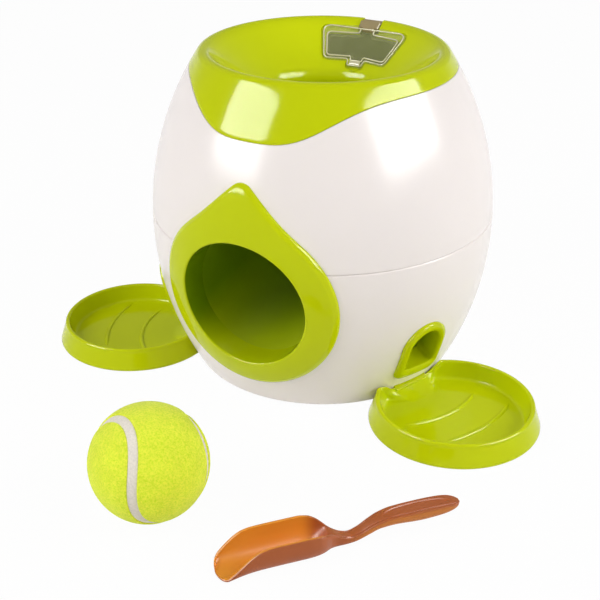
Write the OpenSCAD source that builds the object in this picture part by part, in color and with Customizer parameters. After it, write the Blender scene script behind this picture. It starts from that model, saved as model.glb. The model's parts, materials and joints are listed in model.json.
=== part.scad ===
// Fetch dispenser set: a ball dropped in the top bowl turns a rotor, rolls out of the
// front port, and treats fall through two side outlets into the trays.
// Millimetres. The origin is the middle of the base on the floor, the port faces -Y.

/* [Body] */
// Largest radius of the egg-shaped body
body_r = 109; // [95:0.5:125]
// Radius of the arc that the body's side follows
body_arc_r = 192; // [150:1:260]
// Height of the widest place
body_mid_z = 96; // [80:1:110]
// Height of the seam between the two shells
seam_z = 102.7; // [95:0.1:112]
// Wall of both shells
shell_wall = 2.6; // [1.8:0.1:4]
// Height of the shell's bottom edge over the floor
body_bottom_z = 0.8; // [0.4:0.1:2]

/* [Top bowl] */
// Height of the rim's crest
crest_z = 204; // [195:0.5:215]
// Rounding radius of the crest
crest_round = 5; // [3:0.25:7]
// Slope of the funnel wall in degrees
bowl_slope = 41.5; // [30:0.5:60]
// Radius of the throat that the ball drops through
throat_r = 39; // [36:0.5:42]
// Length from the crest down to the throat tube's lower end
throat_drop = 52; // [40:1:56]
// Wall of the bowl
bowl_wall = 2.4; // [1.8:0.1:3.5]
// How far the skirt's edge lies under the crest at the sides and back
skirt_side = 9.7; // [6:0.1:19]
// How far the skirt dips at the front
skirt_drop = 21.7; // [5:0.1:30]
// Half width of the dip
skirt_half = 86; // [60:1:95]

/* [Refill lid] */
// Half angle of the lid around the body's axis
lid_half = 27.2; // [15:0.1:35]
// Distance down the funnel wall to the lid's top edge
lid_top = 4.4; // [3:0.1:8]
// Distance down the funnel wall to the lid's bottom edge
lid_end = 30.6; // [24:0.1:33]
// Distance down the funnel wall to the end of the finger tab
tab_end = 35.2; // [32:0.1:37]
// Half angle of the finger tab
tab_half = 7.6; // [4:0.1:12]
// Depth of the recess that the lid lies in
lid_recess = 1.2; // [0.6:0.1:1.6]
// Thickness of the lid
lid_thick = 1.9; // [1.2:0.1:3]
// Half width of the hinge notch in the rim
notch_half = 7.4; // [5:0.1:10]
// Radius of the lid's hinge pin
lid_pin_r = 1; // [0.8:0.05:1.5]

/* [Ball port] */
// Height of the port's middle
port_z = 76.5; // [65:0.5:85]
// Radius of the port
port_r = 40.5; // [37:0.5:44]
// Radius of the bezel round the port
bezel_r = 57.5; // [50:0.5:62]
// Height of the bezel's tip
bezel_tip_z = 151.5; // [130:0.5:160]
// Rounding radius of the tip
bezel_tip_r = 10.5; // [6:0.5:20]
// How far the bezel stands proud of the shell
bezel_rise = 3.2; // [1.5:0.1:5]

/* [Treat outlets and trays] */
// Angle from the front to each outlet
outlet_az = 64.6; // [55:0.2:80]
// Half width of the outlet's frame
outlet_half = 16.5; // [15:0.5:22]
// Height of the frame's lower edge
outlet_low_z = 18; // [14:0.5:20]
// Height of the frame's top
outlet_top_z = 59; // [50:0.5:66]
// Angle from the front to each tray
tray_az = 66.4; // [55:0.2:80]
// How far a tray's middle lies outside the body's largest radius
tray_out = 18; // [11:0.5:31]
// Radius of the tray's rim
tray_rim_r = 47.5; // [40:0.5:52]
// Height of the tray's rim
tray_h = 14; // [10:0.5:20]
// How much wider the tray's foot is than its rim
tray_flare = 4.75; // [2:0.25:7]

/* [Rotor] */
// Distance of the rotor's axis behind the body's axis
rotor_y = 60; // [58:0.5:62]
// Height of the rotor's axis
rotor_z = 106; // [104:0.5:108]
// Radius of the paddle wheel
paddle_r = 42; // [36:0.5:42.5]
// Radius of the metering drums
drum_r = 20; // [17:0.5:20.5]
// Radius of the shaft
shaft_r = 3; // [2:0.25:4]

/* [Ball] */
// Radius of the ball over its felt
ball_r = 32.5; // [31:0.1:33.5]
// Thickness of the felt
felt = 3; // [2:0.25:4]
// Width of the seam band
seam_w = 5.4; // [3:0.1:7]
// Sideways place of the ball
ball_x = 3.6; // [-40:0.1:40]
// Place of the ball in front of the body
ball_y = -211.3; // [-260:0.1:-170]

/* [Scoop] */
// Length of the scoop
scoop_l = 134; // [110:1:160]
// Half width of the scoop's bowl
scoop_half = 10.5; // [8:0.5:16]
// Height of the scoop's rim
scoop_h = 16.5; // [10:0.5:20]
// Place of the scoop's tip across the front
scoop_x = 61.4; // [40:0.1:120]
// Place of the scoop's tip in front of the body
scoop_y = -237.5; // [-280:0.1:-200]
// Direction of the scoop from its tip to its handle
scoop_turn = 47.3; // [0:0.1:90]

/* [Hidden] */
$fn = 96;
// Radial gap between a fixed piece and its hole
fit = 0.02;
// Radial gap between a turning shaft and its bearing
run = 0.05;
// Air between pieces that move past each other
air = 0.5;
sn = sin(bowl_slope);
cs = cos(bowl_slope);
// Lower end of the throat tube, and the skirt's edge at the sides and back
throat_end_z = crest_z - throat_drop;
skirt_side_z = crest_z - skirt_side;
// Thickness of the bowl at its crest
bowl_skin = bowl_wall + 0.6;
// Middle of the crest's rounding: it touches the body's arc from inside
crest_mid_z = crest_z - crest_round;
crest_mid_r = body_r - body_arc_r
    + sqrt(pow(body_arc_r - crest_round, 2) - pow(crest_mid_z - body_mid_z, 2));
// Top of the funnel's straight wall
wall_r0 = crest_mid_r - crest_round * sn;
wall_z0 = crest_mid_z + crest_round * cs;
// Middle of the rounded throat edge
lip_round = 4;
lip_r = throat_r + lip_round;
lip_z = wall_z0 - (wall_r0 - lip_r) * sn / cs - lip_round / cs;
// Lid hinge axis, in the rim at the back
hinge_y = crest_mid_r;
hinge_z = crest_mid_z + 1.2;
// Start of the cuts that leave through the shell, and a distance clear of it
cut_in = 30;
outside = body_r + 21;
// Base plate, just clear of the lower shell, and the ring of its screws
plate_z = 1.6;
plate_h = 2.6;
plate_top = plate_z + plate_h;
base_r = side_r(plate_z, shell_wall) - 0.6;
screw_ring = base_r - 5.1;
screw_r = 1.5;
// Ball ramp: slope of the tunnel, depth of its front end in the body, and bend behind it
ramp_slope = 8;
port_depth = 24;
ramp_front_y = port_depth - side_r(port_z);
bend_z = port_z - ramp_front_y * tan(ramp_slope);
ramp_r = 40;
ramp_wall = 2.2;
// Across the rotor: half widths of paddle wheel, drums and hopper
paddle_half = 17;
drum_in = 25;
drum_out = 46;
cheek = 52;
tip_mid_z = bezel_tip_z - bezel_tip_r;
core_r = ball_r - felt;
// Room for the facets of the felt round the core
core_gap = 0.45;
// Shape number of the ball's seam curve
seam_a = 0.793;
ball_turn = [14.1, 3.3, 153.1];
// Distance from the body's axis to a tray's middle
tray_dist = body_r + tray_out;
// Inner end of the outlets' collars
collar_l = 16;
outlet_in = side_r((outlet_low_z + outlet_top_z) / 2) - collar_l;
// Treat chute: its floor runs from under a drum down to the outlet
chute_half = 13;
chute_wall = 2;
chute_x = 40.8;
chute_low = concat((outlet_in - 1) * [sin(outlet_az), -cos(outlet_az)], [outlet_low_z + 11.4]);
chute_run = norm([chute_low[0] - chute_x, rotor_y - chute_low[1]]);
chute_turn = atan2(chute_low[0] - chute_x, rotor_y - chute_low[1]);
chute_slope = atan((rotor_z - drum_r - 20.7 - chute_low[2]) / chute_run);
chute_l = chute_run / cos(chute_slope);
// Tongue that plugs a tray into the lower shell
tongue_z = 7.8;
tongue_h = 2;
tongue_half = 13;
tongue_l = 11;
tongue_out = side_r(tongue_z, -air) + 3.4;

// Radius of the body's side at height z, moved in by inset
function side_r(z, inset = 0) = body_r - body_arc_r
    + sqrt(pow(body_arc_r - inset, 2) - pow(z - body_mid_z, 2));

// Points of an arc, angles in degrees
function arc(x, y, r, a0, a1, n) =
    [for (i = [0:n]) let (a = a0 + (a1 - a0) * i / n) [x + r * cos(a), y + r * sin(a)]];

// Points down the body's side
function side_line(z0, z1, inset, n) =
    [for (i = [0:n]) let (z = z0 + (z1 - z0) * i / n) [side_r(z, inset), z]];

// Point on the funnel wall: s down the slope, h out of the wall into the bowl
function wall_point(s, h) = [wall_r0 - cs * s - sn * h, wall_z0 - sn * s + cs * h];

// Height of the skirt's edge: a smooth dip about the front
function dip(x) = abs(x) >= skirt_half ? 0
    : let (c = (1 + cos(180 * x / skirt_half)) / 2) c * c * (3 - 2 * c);
function skirt_z(x) = skirt_side_z - skirt_drop * dip(x);

// Solid of the body's outline between two heights
module barrel(inset, z0, z1) {
    rotate_extrude() intersection() {
        translate([body_r - body_arc_r, body_mid_z]) circle(r = body_arc_r - inset, $fn = 360);
        translate([0, z0]) square([200, z1 - z0]);
    }
}

module pipe(r_out, r_in, h) {
    difference() {
        cylinder(r = r_out, h = h);
        translate([0, 0, -1]) cylinder(r = r_in, h = h + 2);
    }
}

// Shaft along X, centred
module bar_x(r, half) {
    rotate([0, 90, 0]) cylinder(r = r, h = 2 * half, center = true);
}

// Everything over the skirt's edge, or under it
module skirt_cut(over, gap) {
    far = over ? 260 : 100;
    rotate([90, 0, 0]) linear_extrude(height = 140)
        polygon(concat([[-140, skirt_side_z + gap]],
            [for (i = [-22:22]) [i * skirt_half / 22, skirt_z(i * skirt_half / 22) + gap]],
            [[140, skirt_side_z + gap], [140, far], [-140, far]]));
    translate([-140, -0.01, over ? skirt_side_z + gap : 100])
        cube([280, 140, over ? 60 : skirt_side_z + gap - 100]);
}

// Teardrop of the port's bezel, drawn in across and up
function teardrop(inset) =
    let (a = acos((bezel_r - bezel_tip_r) / (tip_mid_z - port_z)))
    concat(arc(0, port_z, bezel_r - inset, 90 + a, 450 - a, 56),
        arc(0, tip_mid_z, bezel_tip_r - inset, 90 - a, 90 + a, 10));

// Arched door with rounded feet, drawn in across and up
function door(half, z0, z1, foot) =
    concat(arc(half - foot, z0 + foot, foot, -90, 0, 5),
        arc(0, z1 - half, half, 0, 180, 18),
        arc(foot - half, z0 + foot, foot, 180, 270, 5));

// Sets a shape drawn in across and up to face straight out at angle az from the front
module facing(az, from, to) {
    rotate([0, 0, az]) translate([0, -from, 0]) rotate([90, 0, 0])
        linear_extrude(height = to - from) children();
}

module upper_shell() {
    color("white") difference() {
        rotate_extrude() difference() {
            intersection() {
                translate([body_r - body_arc_r, body_mid_z])
                    circle(r = body_arc_r, $fn = 360);
                translate([0, seam_z + 0.1]) square([200, skirt_side_z - seam_z + 2]);
            }
            translate([body_r - body_arc_r, body_mid_z])
                circle(r = body_arc_r - shell_wall, $fn = 360);
            translate([side_r(seam_z), seam_z]) rotate(45) square(1.1, center = true);
        }
        skirt_cut(true, 0);
        facing(0, cut_in, outside) translate([0, port_z]) circle(r = port_r + 4);
    }
}

module lower_shell() {
    flange_z = plate_top + 0.2;
    color("white") difference() {
        union() {
            rotate_extrude() difference() {
                intersection() {
                    translate([body_r - body_arc_r, body_mid_z])
                        circle(r = body_arc_r, $fn = 360);
                    translate([0, body_bottom_z]) square([200, seam_z - 0.1 - body_bottom_z]);
                }
                translate([body_r - body_arc_r, body_mid_z])
                    circle(r = body_arc_r - shell_wall, $fn = 360);
                translate([side_r(seam_z), seam_z]) rotate(45) square(1.1, center = true);
            }
            // Lip that the upper shell slips over
            difference() {
                barrel(shell_wall + 0.15, seam_z - 2, seam_z + 4);
                barrel(shell_wall + 1.7, seam_z - 9, seam_z + 9);
            }
            difference() {
                barrel(shell_wall - 0.6, seam_z - 7, seam_z - 1.2);
                barrel(shell_wall + 1.7, seam_z - 9, seam_z + 9);
            }
            // Flange that the base plate screws to
            difference() {
                barrel(shell_wall - 0.6, flange_z, flange_z + 2.6);
                translate([0, 0, flange_z - 1]) cylinder(r = screw_ring - 5.5, h = 5);
            }
            for (a = [45:90:315]) rotate([0, 0, a]) translate([screw_ring, 0, flange_z])
                cylinder(r = screw_r + 2.5, h = 6);
        }
        facing(0, cut_in, outside) translate([0, port_z]) circle(r = port_r + 4);
        for (a = [-outlet_az, outlet_az]) {
            facing(a, outlet_in - 14, outside) polygon(door(outlet_half - 1.6, outlet_low_z + 2.6,
                outlet_top_z - 3.1, 4));
        }
        for (a = [-tray_az, tray_az]) {
            facing(a, tongue_out - tongue_l - 10, outside)
                translate([-tongue_half - air, tongue_z - 0.4])
                    square([2 * (tongue_half + air), tongue_h + 0.8]);
        }
        for (a = [45:90:315]) rotate([0, 0, a]) translate([screw_ring, 0, 0])
            cylinder(r = screw_r + fit, h = 9);
    }
}

module base_plate() {
    color("white") difference() {
        translate([0, 0, plate_z]) cylinder(r = base_r, h = plate_h);
        for (a = [45:90:315]) rotate([0, 0, a]) translate([screw_ring, 0, 0]) {
            cylinder(r = screw_r + fit, h = 9);
            cylinder(r = screw_r + 1.9, h = plate_z + 1.4);
        }
    }
}

module base_screws() {
    color("silver") for (a = [45:90:315]) rotate([0, 0, a]) translate([screw_ring, 0, plate_z]) {
        translate([0, 0, 0.1]) cylinder(r = screw_r + 1.6, h = 1.3);
        translate([0, 0, 0.9]) cylinder(r = screw_r, h = 6);
    }
}

module foot_pad() {
    color("dimgray") cylinder(r = screw_ring - 9.5, h = plate_z);
}

// Sector of a ring cut from the funnel wall at the back, s and h as in wall_point
module wall_sector(half, s0, s1, h0, h1) {
    rotate([0, 0, 90 - half]) rotate_extrude(angle = 2 * half)
        polygon([wall_point(s0, h0), wall_point(s1, h0), wall_point(s1, h1),
            wall_point(s0, h1)]);
}

module top_bowl() {
    a_out = atan2(crest_mid_z - body_mid_z, crest_mid_r - body_r + body_arc_r);
    a_in = 90 + bowl_slope;
    joint_z = body_mid_z + body_arc_r * sin(a_out);
    in_z = body_mid_z + (body_arc_r - bowl_skin) * sin(a_out);
    tube_r = throat_r + bowl_wall;
    // Lower and upper end of the ring inside the shell
    ring_low = skirt_side_z - skirt_drop - 8.6;
    ring_top = crest_mid_z - 2;
    color("yellowgreen") difference() {
        union() {
            // Outer skirt with its wavy edge
            difference() {
                rotate_extrude() polygon(concat(side_line(ring_low + 2, joint_z, 0, 9),
                    side_line(in_z, ring_low + 2, bowl_skin, 9)));
                skirt_cut(false, 0.12);
            }
            // Crest, funnel and throat
            rotate_extrude() polygon(concat(
                arc(crest_mid_r, crest_mid_z, crest_round, a_out, a_in, 10),
                arc(lip_r, lip_z, lip_round, a_in, 180, 4),
                [[throat_r, throat_end_z], [tube_r, throat_end_z],
                    [tube_r, wall_z0 - (wall_r0 - tube_r) * sn / cs - bowl_wall / cs]],
                arc(crest_mid_r, crest_mid_z, crest_round - bowl_skin, a_in, a_out, 5)));
            // Ring that slips inside the upper shell
            rotate_extrude() polygon(concat(
                side_line(ring_low, ring_top, shell_wall + 0.15, 8),
                side_line(ring_top, ring_low, shell_wall + 1.7, 8)));
            // Blocks that hold the lid's hinge pin
            for (m = [0, 1]) mirror([m, 0, 0])
                rotate([0, 0, 90 - 11]) rotate_extrude(angle = 5.8)
                    translate([hinge_y - 3, hinge_z - 4.6]) square(6);
        }
        wall_sector(lid_half + 0.9, lid_top - 0.8, lid_end + 0.7, -lid_recess, 6);
        wall_sector(tab_half + 1, lid_end - 1, tab_end + 1.6, -lid_recess, 6);
        wall_sector(lid_half - 4.5, lid_top + 4.2, lid_end - 3.6, -9, 6);
        translate([0, wall_point(0, 0)[0], wall_point(0, 0)[1]]) rotate([bowl_slope, 0, 0])
            translate([-notch_half, -lid_top - 3.4, -8]) cube([2 * notch_half, 15, 20]);
        translate([0, hinge_y, hinge_z]) bar_x(lid_pin_r + fit, 12);
    }
}

module refill_lid() {
    h0 = -lid_recess + 0.2;
    h1 = h0 + lid_thick;
    // The finger tab is thinner than the lid on both faces, and the hinge arm stands proud
    tab_thin = 0.2;
    arm_proud = 0.5;
    color("lightcyan", 0.5) difference() {
        union() {
            wall_sector(lid_half, lid_top, lid_end, h0, h1);
            wall_sector(tab_half, lid_end - 1, tab_end, h0 + tab_thin, h1 - tab_thin);
            translate([0, hinge_y, hinge_z]) bar_x(2.9, notch_half - 0.7);
            // Arm from the hinge to the lid's top edge
            translate([0, wall_point(0, 0)[0], wall_point(0, 0)[1]]) rotate([bowl_slope, 0, 0])
                translate([0.4 - notch_half, -lid_top - 2, -5])
                    cube([2 * notch_half - 0.8, 6, h1 + 5 + arm_proud]);
        }
        translate([0, hinge_y, hinge_z]) bar_x(lid_pin_r + run, 12);
    }
}

module lid_pin() {
    color("silver") translate([0, hinge_y, hinge_z]) bar_x(lid_pin_r, 11.5);
}

module port_bezel() {
    color("yellowgreen") difference() {
        union() {
            intersection() {
                facing(0, cut_in, outside) polygon(teardrop(0));
                difference() {
                    barrel(-bezel_rise + 1.1, 5, 170);
                    barrel(-0.15, 0, 180);
                }
            }
            intersection() {
                facing(0, cut_in, outside) polygon(teardrop(1.3));
                difference() {
                    barrel(-bezel_rise, 5, 170);
                    barrel(-0.6, 0, 180);
                }
            }
            intersection() {
                facing(0, 0.3 - ramp_front_y, outside)
                    translate([0, port_z]) circle(r = port_r + 2.2);
                barrel(-1, 5, 170);
            }
        }
        facing(0, cut_in, outside) translate([0, port_z]) circle(r = port_r);
    }
}

module ramp_form(r, bend_r) {
    translate([0, 0, bend_z]) cylinder(r = r, h = throat_end_z - 0.4 - bend_z);
    translate([0, 0, bend_z]) rotate([90 + ramp_slope, 0, 0]) cylinder(r = r, h = 100);
    translate([0, 0, bend_z]) sphere(r = bend_r);
}

module ball_ramp() {
    color("olivedrab") difference() {
        union() {
            ramp_form(ramp_r + ramp_wall, ramp_r + ramp_wall + 1.4);
            for (x = [-24, 20], y = [-64, 6]) translate([x, y, plate_top + 0.1]) cube([4, 8, bend_z - 32]);
        }
        ramp_form(ramp_r, ramp_r + 1.4);
        translate([0, 0, throat_end_z - 12]) cylinder(r = ramp_r, h = 20);
        translate([-60, -140, 0]) cube([120, 140 + ramp_front_y, 140]);
        translate([0, rotor_y, rotor_z]) bar_x(paddle_r + 1.5, paddle_half + 2.5);
    }
}

// Space of the bowl's funnel, seen from the hopper under it
module under_bowl(gap) {
    u = -bowl_skin - gap;
    rotate_extrude() polygon([wall_point(46, u), wall_point(-4, u), [90, 230], [0, 230],
        [0, wall_point(46, u)[1]]]);
}

module treat_hopper() {
    floor_z = rotor_z + drum_r - 4;
    // The top stays under the lid's hinge
    top_z = hinge_z - 5.2;
    front_y = ramp_r + ramp_wall + 1.4;
    wall = 2;
    color("gainsboro") difference() {
        union() {
            difference() {
                intersection() {
                    barrel(shell_wall + 2.2, floor_z, top_z);
                    translate([-cheek - wall, front_y, 0]) cube([2 * (cheek + wall), body_r, crest_z]);
                }
                difference() {
                    intersection() {
                        barrel(shell_wall + 2.2 + wall, floor_z + wall, top_z + 4);
                        translate([-cheek, front_y + wall, 0]) cube([2 * cheek, body_r, crest_z]);
                    }
                    translate([0, rotor_y, rotor_z]) bar_x(paddle_r + 3.5, paddle_half + 4.5);
                }
            }
            for (x = [-cheek - wall, cheek]) translate([x, rotor_y - 9, rotor_z - 11])
                cube([wall, 18, 30]);
        }
        under_bowl(0.4);
        translate([0, rotor_y, rotor_z]) bar_x(paddle_r + 1.5, paddle_half + 2.5);
        for (x = [-drum_out - 0.6, drum_in - 0.6]) translate([x, rotor_y, rotor_z])
            rotate([0, 90, 0]) cylinder(r = drum_r + air, h = drum_out - drum_in + 1.2);
        translate([0, rotor_y, rotor_z]) bar_x(shaft_r + run, 70);
    }
}

module rotor_shaft() {
    color("silver") translate([0, rotor_y, rotor_z]) bar_x(shaft_r, cheek + 5);
}

module paddle_wheel() {
    color("orange") translate([0, rotor_y, rotor_z]) difference() {
        union() {
            bar_x(8, paddle_half);
            for (a = [0, 90]) rotate([a, 0, 0])
                cube([2 * paddle_half, 2 * paddle_r, 3], center = true);
        }
        bar_x(shaft_r + fit, 40);
    }
}

module drum() {
    color("orange") translate([drum_in, rotor_y, rotor_z]) rotate([0, 90, 0]) difference() {
        cylinder(r = drum_r, h = drum_out - drum_in);
        for (a = [0:90:270]) rotate([0, 0, a + 45]) translate([drum_r - 3, 0, 2])
            cylinder(r = 7.5, h = drum_out - drum_in - 4);
        translate([0, 0, -1]) cylinder(r = shaft_r + fit, h = 40);
    }
}

module left_drum() {
    mirror([1, 0, 0]) drum();
}

module right_drum() {
    drum();
}

module shaft_clips() {
    color("dimgray") for (x = [-cheek - 4, cheek + 2.4]) translate([x, rotor_y, rotor_z])
        rotate([0, 90, 0]) pipe(5.5, shaft_r + fit, 1.6);
}

// Open trough from under a drum down to its outlet, with a leg on the base plate
module chute() {
    color("yellowgreen") intersection() {
        difference() {
            union() {
                translate(chute_low) rotate([chute_slope, 0, chute_turn])
                    translate([-chute_half - chute_wall, -16, -chute_wall]) {
                        cube([2 * (chute_half + chute_wall), chute_l + 33, 17]);
                        cube([2 * (chute_half + chute_wall), chute_l - 34, 29]);
                    }
                // The leg stands inside the ring of screws
                translate(screw_ring * [cos(45), sin(45), 0] + [-9.4, -15.4, plate_top + 0.1])
                    cube([4, 12, 62]);
            }
            translate(chute_low) rotate([chute_slope, 0, chute_turn])
                translate([-chute_half, -30, 0]) cube([2 * chute_half, chute_l + 60, 60]);
            translate([0, rotor_y, rotor_z]) bar_x(paddle_r + 1.5, paddle_half + 3);
        }
        barrel(shell_wall + 1, 4, 120);
        rotate([0, 0, outlet_az]) translate([-body_r, 0.4 - outlet_in, 0])
            cube([2 * body_r, 2 * body_r, 120]);
    }
}

module left_chute() {
    mirror([1, 0, 0]) chute();
}

module right_chute() {
    chute();
}

module outlet() {
    hole = outlet_half - 4.2;
    color("yellowgreen") difference() {
        union() {
            intersection() {
                facing(outlet_az, cut_in, outside)
                    polygon(door(outlet_half, outlet_low_z, outlet_top_z, 6));
                difference() {
                    barrel(-1.4, 5, 90);
                    barrel(-0.15, 0, 100);
                }
            }
            intersection() {
                facing(outlet_az, cut_in, outside)
                    polygon(door(outlet_half - 1, outlet_low_z + 1, outlet_top_z - 1, 5.4));
                difference() {
                    barrel(-2.2, 5, 90);
                    barrel(-0.6, 0, 100);
                }
            }
            intersection() {
                facing(outlet_az, outlet_in, outside)
                    polygon(door(hole + 2, outlet_low_z + 4, outlet_top_z - 3.5, 4));
                barrel(-0.8, 5, 90);
            }
        }
        facing(outlet_az, cut_in, outside)
            polygon(door(hole, outlet_low_z + 6, outlet_top_z - 5.5, 3));
    }
}

module left_outlet() {
    mirror([1, 0, 0]) outlet();
}

module right_outlet() {
    outlet();
}

// Vein on the tray's floor: part of a ring about a point on the body's side
module vein(r, a0, a1) {
    translate([0, 63.5, 0]) rotate([0, 0, 270 + a0]) rotate_extrude(angle = a1 - a0)
        polygon([[r - 1.1, 2.6], [r + 1.1, 2.6], [r + 0.5, 4.1], [r - 0.5, 4.1]]);
}

// Tray in its own frame, straight in front; the body's axis is tray_dist behind it
module tray_form() {
    rim = tray_rim_r;
    foot = tray_rim_r + tray_flare;
    translate([0, -tray_dist, 0]) {
        rotate_extrude() polygon([[0, 1.2], [rim - 6.2, 1.2], [rim - 4.4, 2.2],
            [rim - 1.9, tray_h - 3.4], [foot - 2.6, 0], [foot - 0.4, 0], [foot, 0.5],
            [rim + 0.8, tray_h - 1],
            [rim + 0.2, tray_h - 0.25], [rim - 0.7, tray_h], [rim - 1.6, tray_h - 0.3],
            [rim - 2.2, tray_h - 1.1], [rim - 4.2, 5.2], [rim - 5.2, 3.8], [rim - 6.8, 3.2],
            [0, 3.2]]);
    }
}

module tray() {
    color("yellowgreen") rotate([0, 0, tray_az]) union() {
        difference() {
            tray_form();
            barrel(-air, -1, 60);
        }
        // Low wall along the body, with the tongue that plugs into the shell
        difference() {
            intersection() {
                barrel(-air - 2, 1.3, tongue_z + tongue_h);
                translate([0, -tray_dist, 0]) cylinder(r = tray_rim_r - 1.5, h = 30);
            }
            barrel(-air, -1, 60);
        }
        translate([-tongue_half, -tongue_out, tongue_z])
            cube([2 * tongue_half, tongue_l, tongue_h]);
        translate([0, -tray_dist, 0]) {
            vein(60, -29, 29);
            vein(83.5, -15, 27);
        }
    }
}

module left_tray() {
    mirror([1, 0, 0]) tray();
}

module right_tray() {
    tray();
}

module place_ball() {
    translate([ball_x, ball_y, ball_r]) rotate(ball_turn) children();
}

module core_half(side) {
    place_ball() difference() {
        sphere(r = core_r - core_gap);
        sphere(r = core_r - 3.4);
        translate([-50, -50, side > 0 ? -100 : 0]) cube([100, 100, 100]);
    }
}

module core_half_a() {
    color("tan") core_half(1);
}

module core_half_b() {
    color("tan") core_half(-1);
}

// Seam curve of the ball on the unit sphere, t in degrees
function seam_point(t) =
    let (b = 1 - seam_a, c = 2 * sqrt(seam_a * b),
        x = seam_a * cos(t) + b * cos(3 * t), y = seam_a * sin(t) - b * sin(3 * t))
    [(x - y) / sqrt(2), (x + y) / sqrt(2), c * sin(2 * t)];

function unit(v) = v / norm(v);

// Direction across the seam, in the ball's surface
function seam_side(t) = unit(cross(seam_point(t), seam_point(t + 1) - seam_point(t - 1)));

// Edge of the felt or band: the seam curve moved w across the surface
function seam_edge(t, w) =
    let (a = w / ball_r * 180 / PI) seam_point(t) * cos(a) + seam_side(t) * sin(a);

// One felt panel: rows run from one edge of the panel to the other
module panel() {
    n = 44;
    m = 10;
    half = seam_w / 2 + 0.05;
    // Edge of the panel on one side, from one end lobe to the other
    edge = [for (i = [0:n]) seam_edge(-45 + 180 * i / n, half)];
    rows = [for (e = edge) let (lon = atan2(e[2], e[0]), lat = asin(e[1]))
        [for (j = [0:m]) let (q = lat * (2 * j / m - 1))
            [cos(q) * cos(lon), sin(q), cos(q) * sin(lon)]]];
    w = m + 1;
    k = (n + 1) * w;
    top = [for (row = rows, p = row) p * ball_r];
    low = [for (row = rows, p = row) p * core_r];
    polyhedron(points = concat(top, low), convexity = 6, faces = concat(
        [for (i = [0:n - 1], j = [0:m - 1]) [i * w + j, i * w + j + 1, (i + 1) * w + j]],
        [for (i = [0:n - 1], j = [0:m - 1]) [i * w + j + 1, (i + 1) * w + j + 1, (i + 1) * w + j]],
        [for (i = [0:n - 1], j = [0:m - 1]) [k + i * w + j, k + (i + 1) * w + j, k + i * w + j + 1]],
        [for (i = [0:n - 1], j = [0:m - 1])
            [k + i * w + j + 1, k + (i + 1) * w + j, k + (i + 1) * w + j + 1]],
        [for (i = [0:n - 1]) [i * w, (i + 1) * w, k + (i + 1) * w]],
        [for (i = [0:n - 1]) [i * w, k + (i + 1) * w, k + i * w]],
        [for (i = [0:n - 1]) [i * w + m, k + (i + 1) * w + m, (i + 1) * w + m]],
        [for (i = [0:n - 1]) [i * w + m, k + i * w + m, k + (i + 1) * w + m]],
        [for (j = [0:m - 1]) [j, k + j, j + 1]],
        [for (j = [0:m - 1]) [j + 1, k + j, k + j + 1]],
        [for (j = [0:m - 1]) [n * w + j, n * w + j + 1, k + n * w + j]],
        [for (j = [0:m - 1]) [n * w + j + 1, k + n * w + j + 1, k + n * w + j]]));
}

module felt_panel_a() {
    color("greenyellow") place_ball() panel();
}

module felt_panel_b() {
    color("greenyellow") place_ball() rotate([180, 0, 90]) panel();
}

// Band between the felt panels, a ring with a flat section
module seam_band() {
    n = 120;
    half = seam_w / 2 - 0.05;
    ring = [for (i = [0:n - 1])
        let (t = 360 * i / n, e0 = seam_edge(t, -half), e1 = seam_edge(t, half))
        [e0 * core_r, e1 * core_r, e1 * (ball_r - 0.7), seam_point(t) * (ball_r - 0.6),
            e0 * (ball_r - 0.7)]];
    points = [for (r = ring, p = r) p];
    color("linen") place_ball() polyhedron(points = points, convexity = 6, faces =
        [for (i = [0:n - 1], j = [0:4], s = [0, 1])
            let (a = i * 5 + j, b = i * 5 + (j + 1) % 5,
                c = ((i + 1) % n) * 5 + j, d = ((i + 1) % n) * 5 + (j + 1) % 5)
            s == 0 ? [a, c, b] : [b, c, d]]);
}

// Scoop section values by length: half width, underside, rim, and floor of the hollow
scoop_half_at = [[0, 8.0], [1, 9.3], [3, 10.0], [8, 10.3], [20, scoop_half], [45, scoop_half],
    [51, 9.9], [55, 8.4], [58, 6.2], [60, 4.7], [64, 3.5], [70, 3.3], [78, 3.7], [90, 4.8], [105, 5.4],
    [120, 5.4], [128, 4.9], [132, 3.6], [134, 1.2]];
scoop_low_at = [[0, 0.3], [4, 0], [48, 0], [55, 0.5], [60, 1.2], [67, 1.4], [73, 2.4], [80, 5.0],
    [88, 7.8], [96, 8.2], [112, 7.6], [124, 8.4], [130, 9.2], [134, 10.6]];
scoop_rim_at = [[0, 1.2], [2, 2.0], [5, 4.2], [10, 8.6], [16, 13.4], [20, 15.4], [25, 16.3],
    [30, scoop_h], [45, scoop_h], [51, 15.8], [55, 14.2], [58, 12.2], [60, 10.6], [63, 8.6], [67, 6.4],
    [71, 5.4], [76, 6.6], [82, 9.6], [88, 12.0], [96, 13.4], [112, 13.6], [124, 13.2], [130, 12.4],
    [134, 11.4]];
scoop_hollow_at = [[0, 1.1], [6, 1.6], [44, 1.8], [50, 2.6], [54, 4.6], [57, 8.0], [59, 10.4],
    [61, 10.0], [64, 8.4], [67, 6.7], [71, 5.8], [76, 7.1], [82, 10.2], [88, 12.6], [96, 14.0],
    [112, 14.2], [124, 13.7], [130, 12.8], [134, 11.5]];

// Across and up shares of a section with a flat floor, round corners and steep walls
function flat_sin(a) = sign(a) * pow(abs(sin(a)), 2 / 3);
function flat_cos(a) = pow(max(0, cos(a)), 2 / 3);

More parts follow.
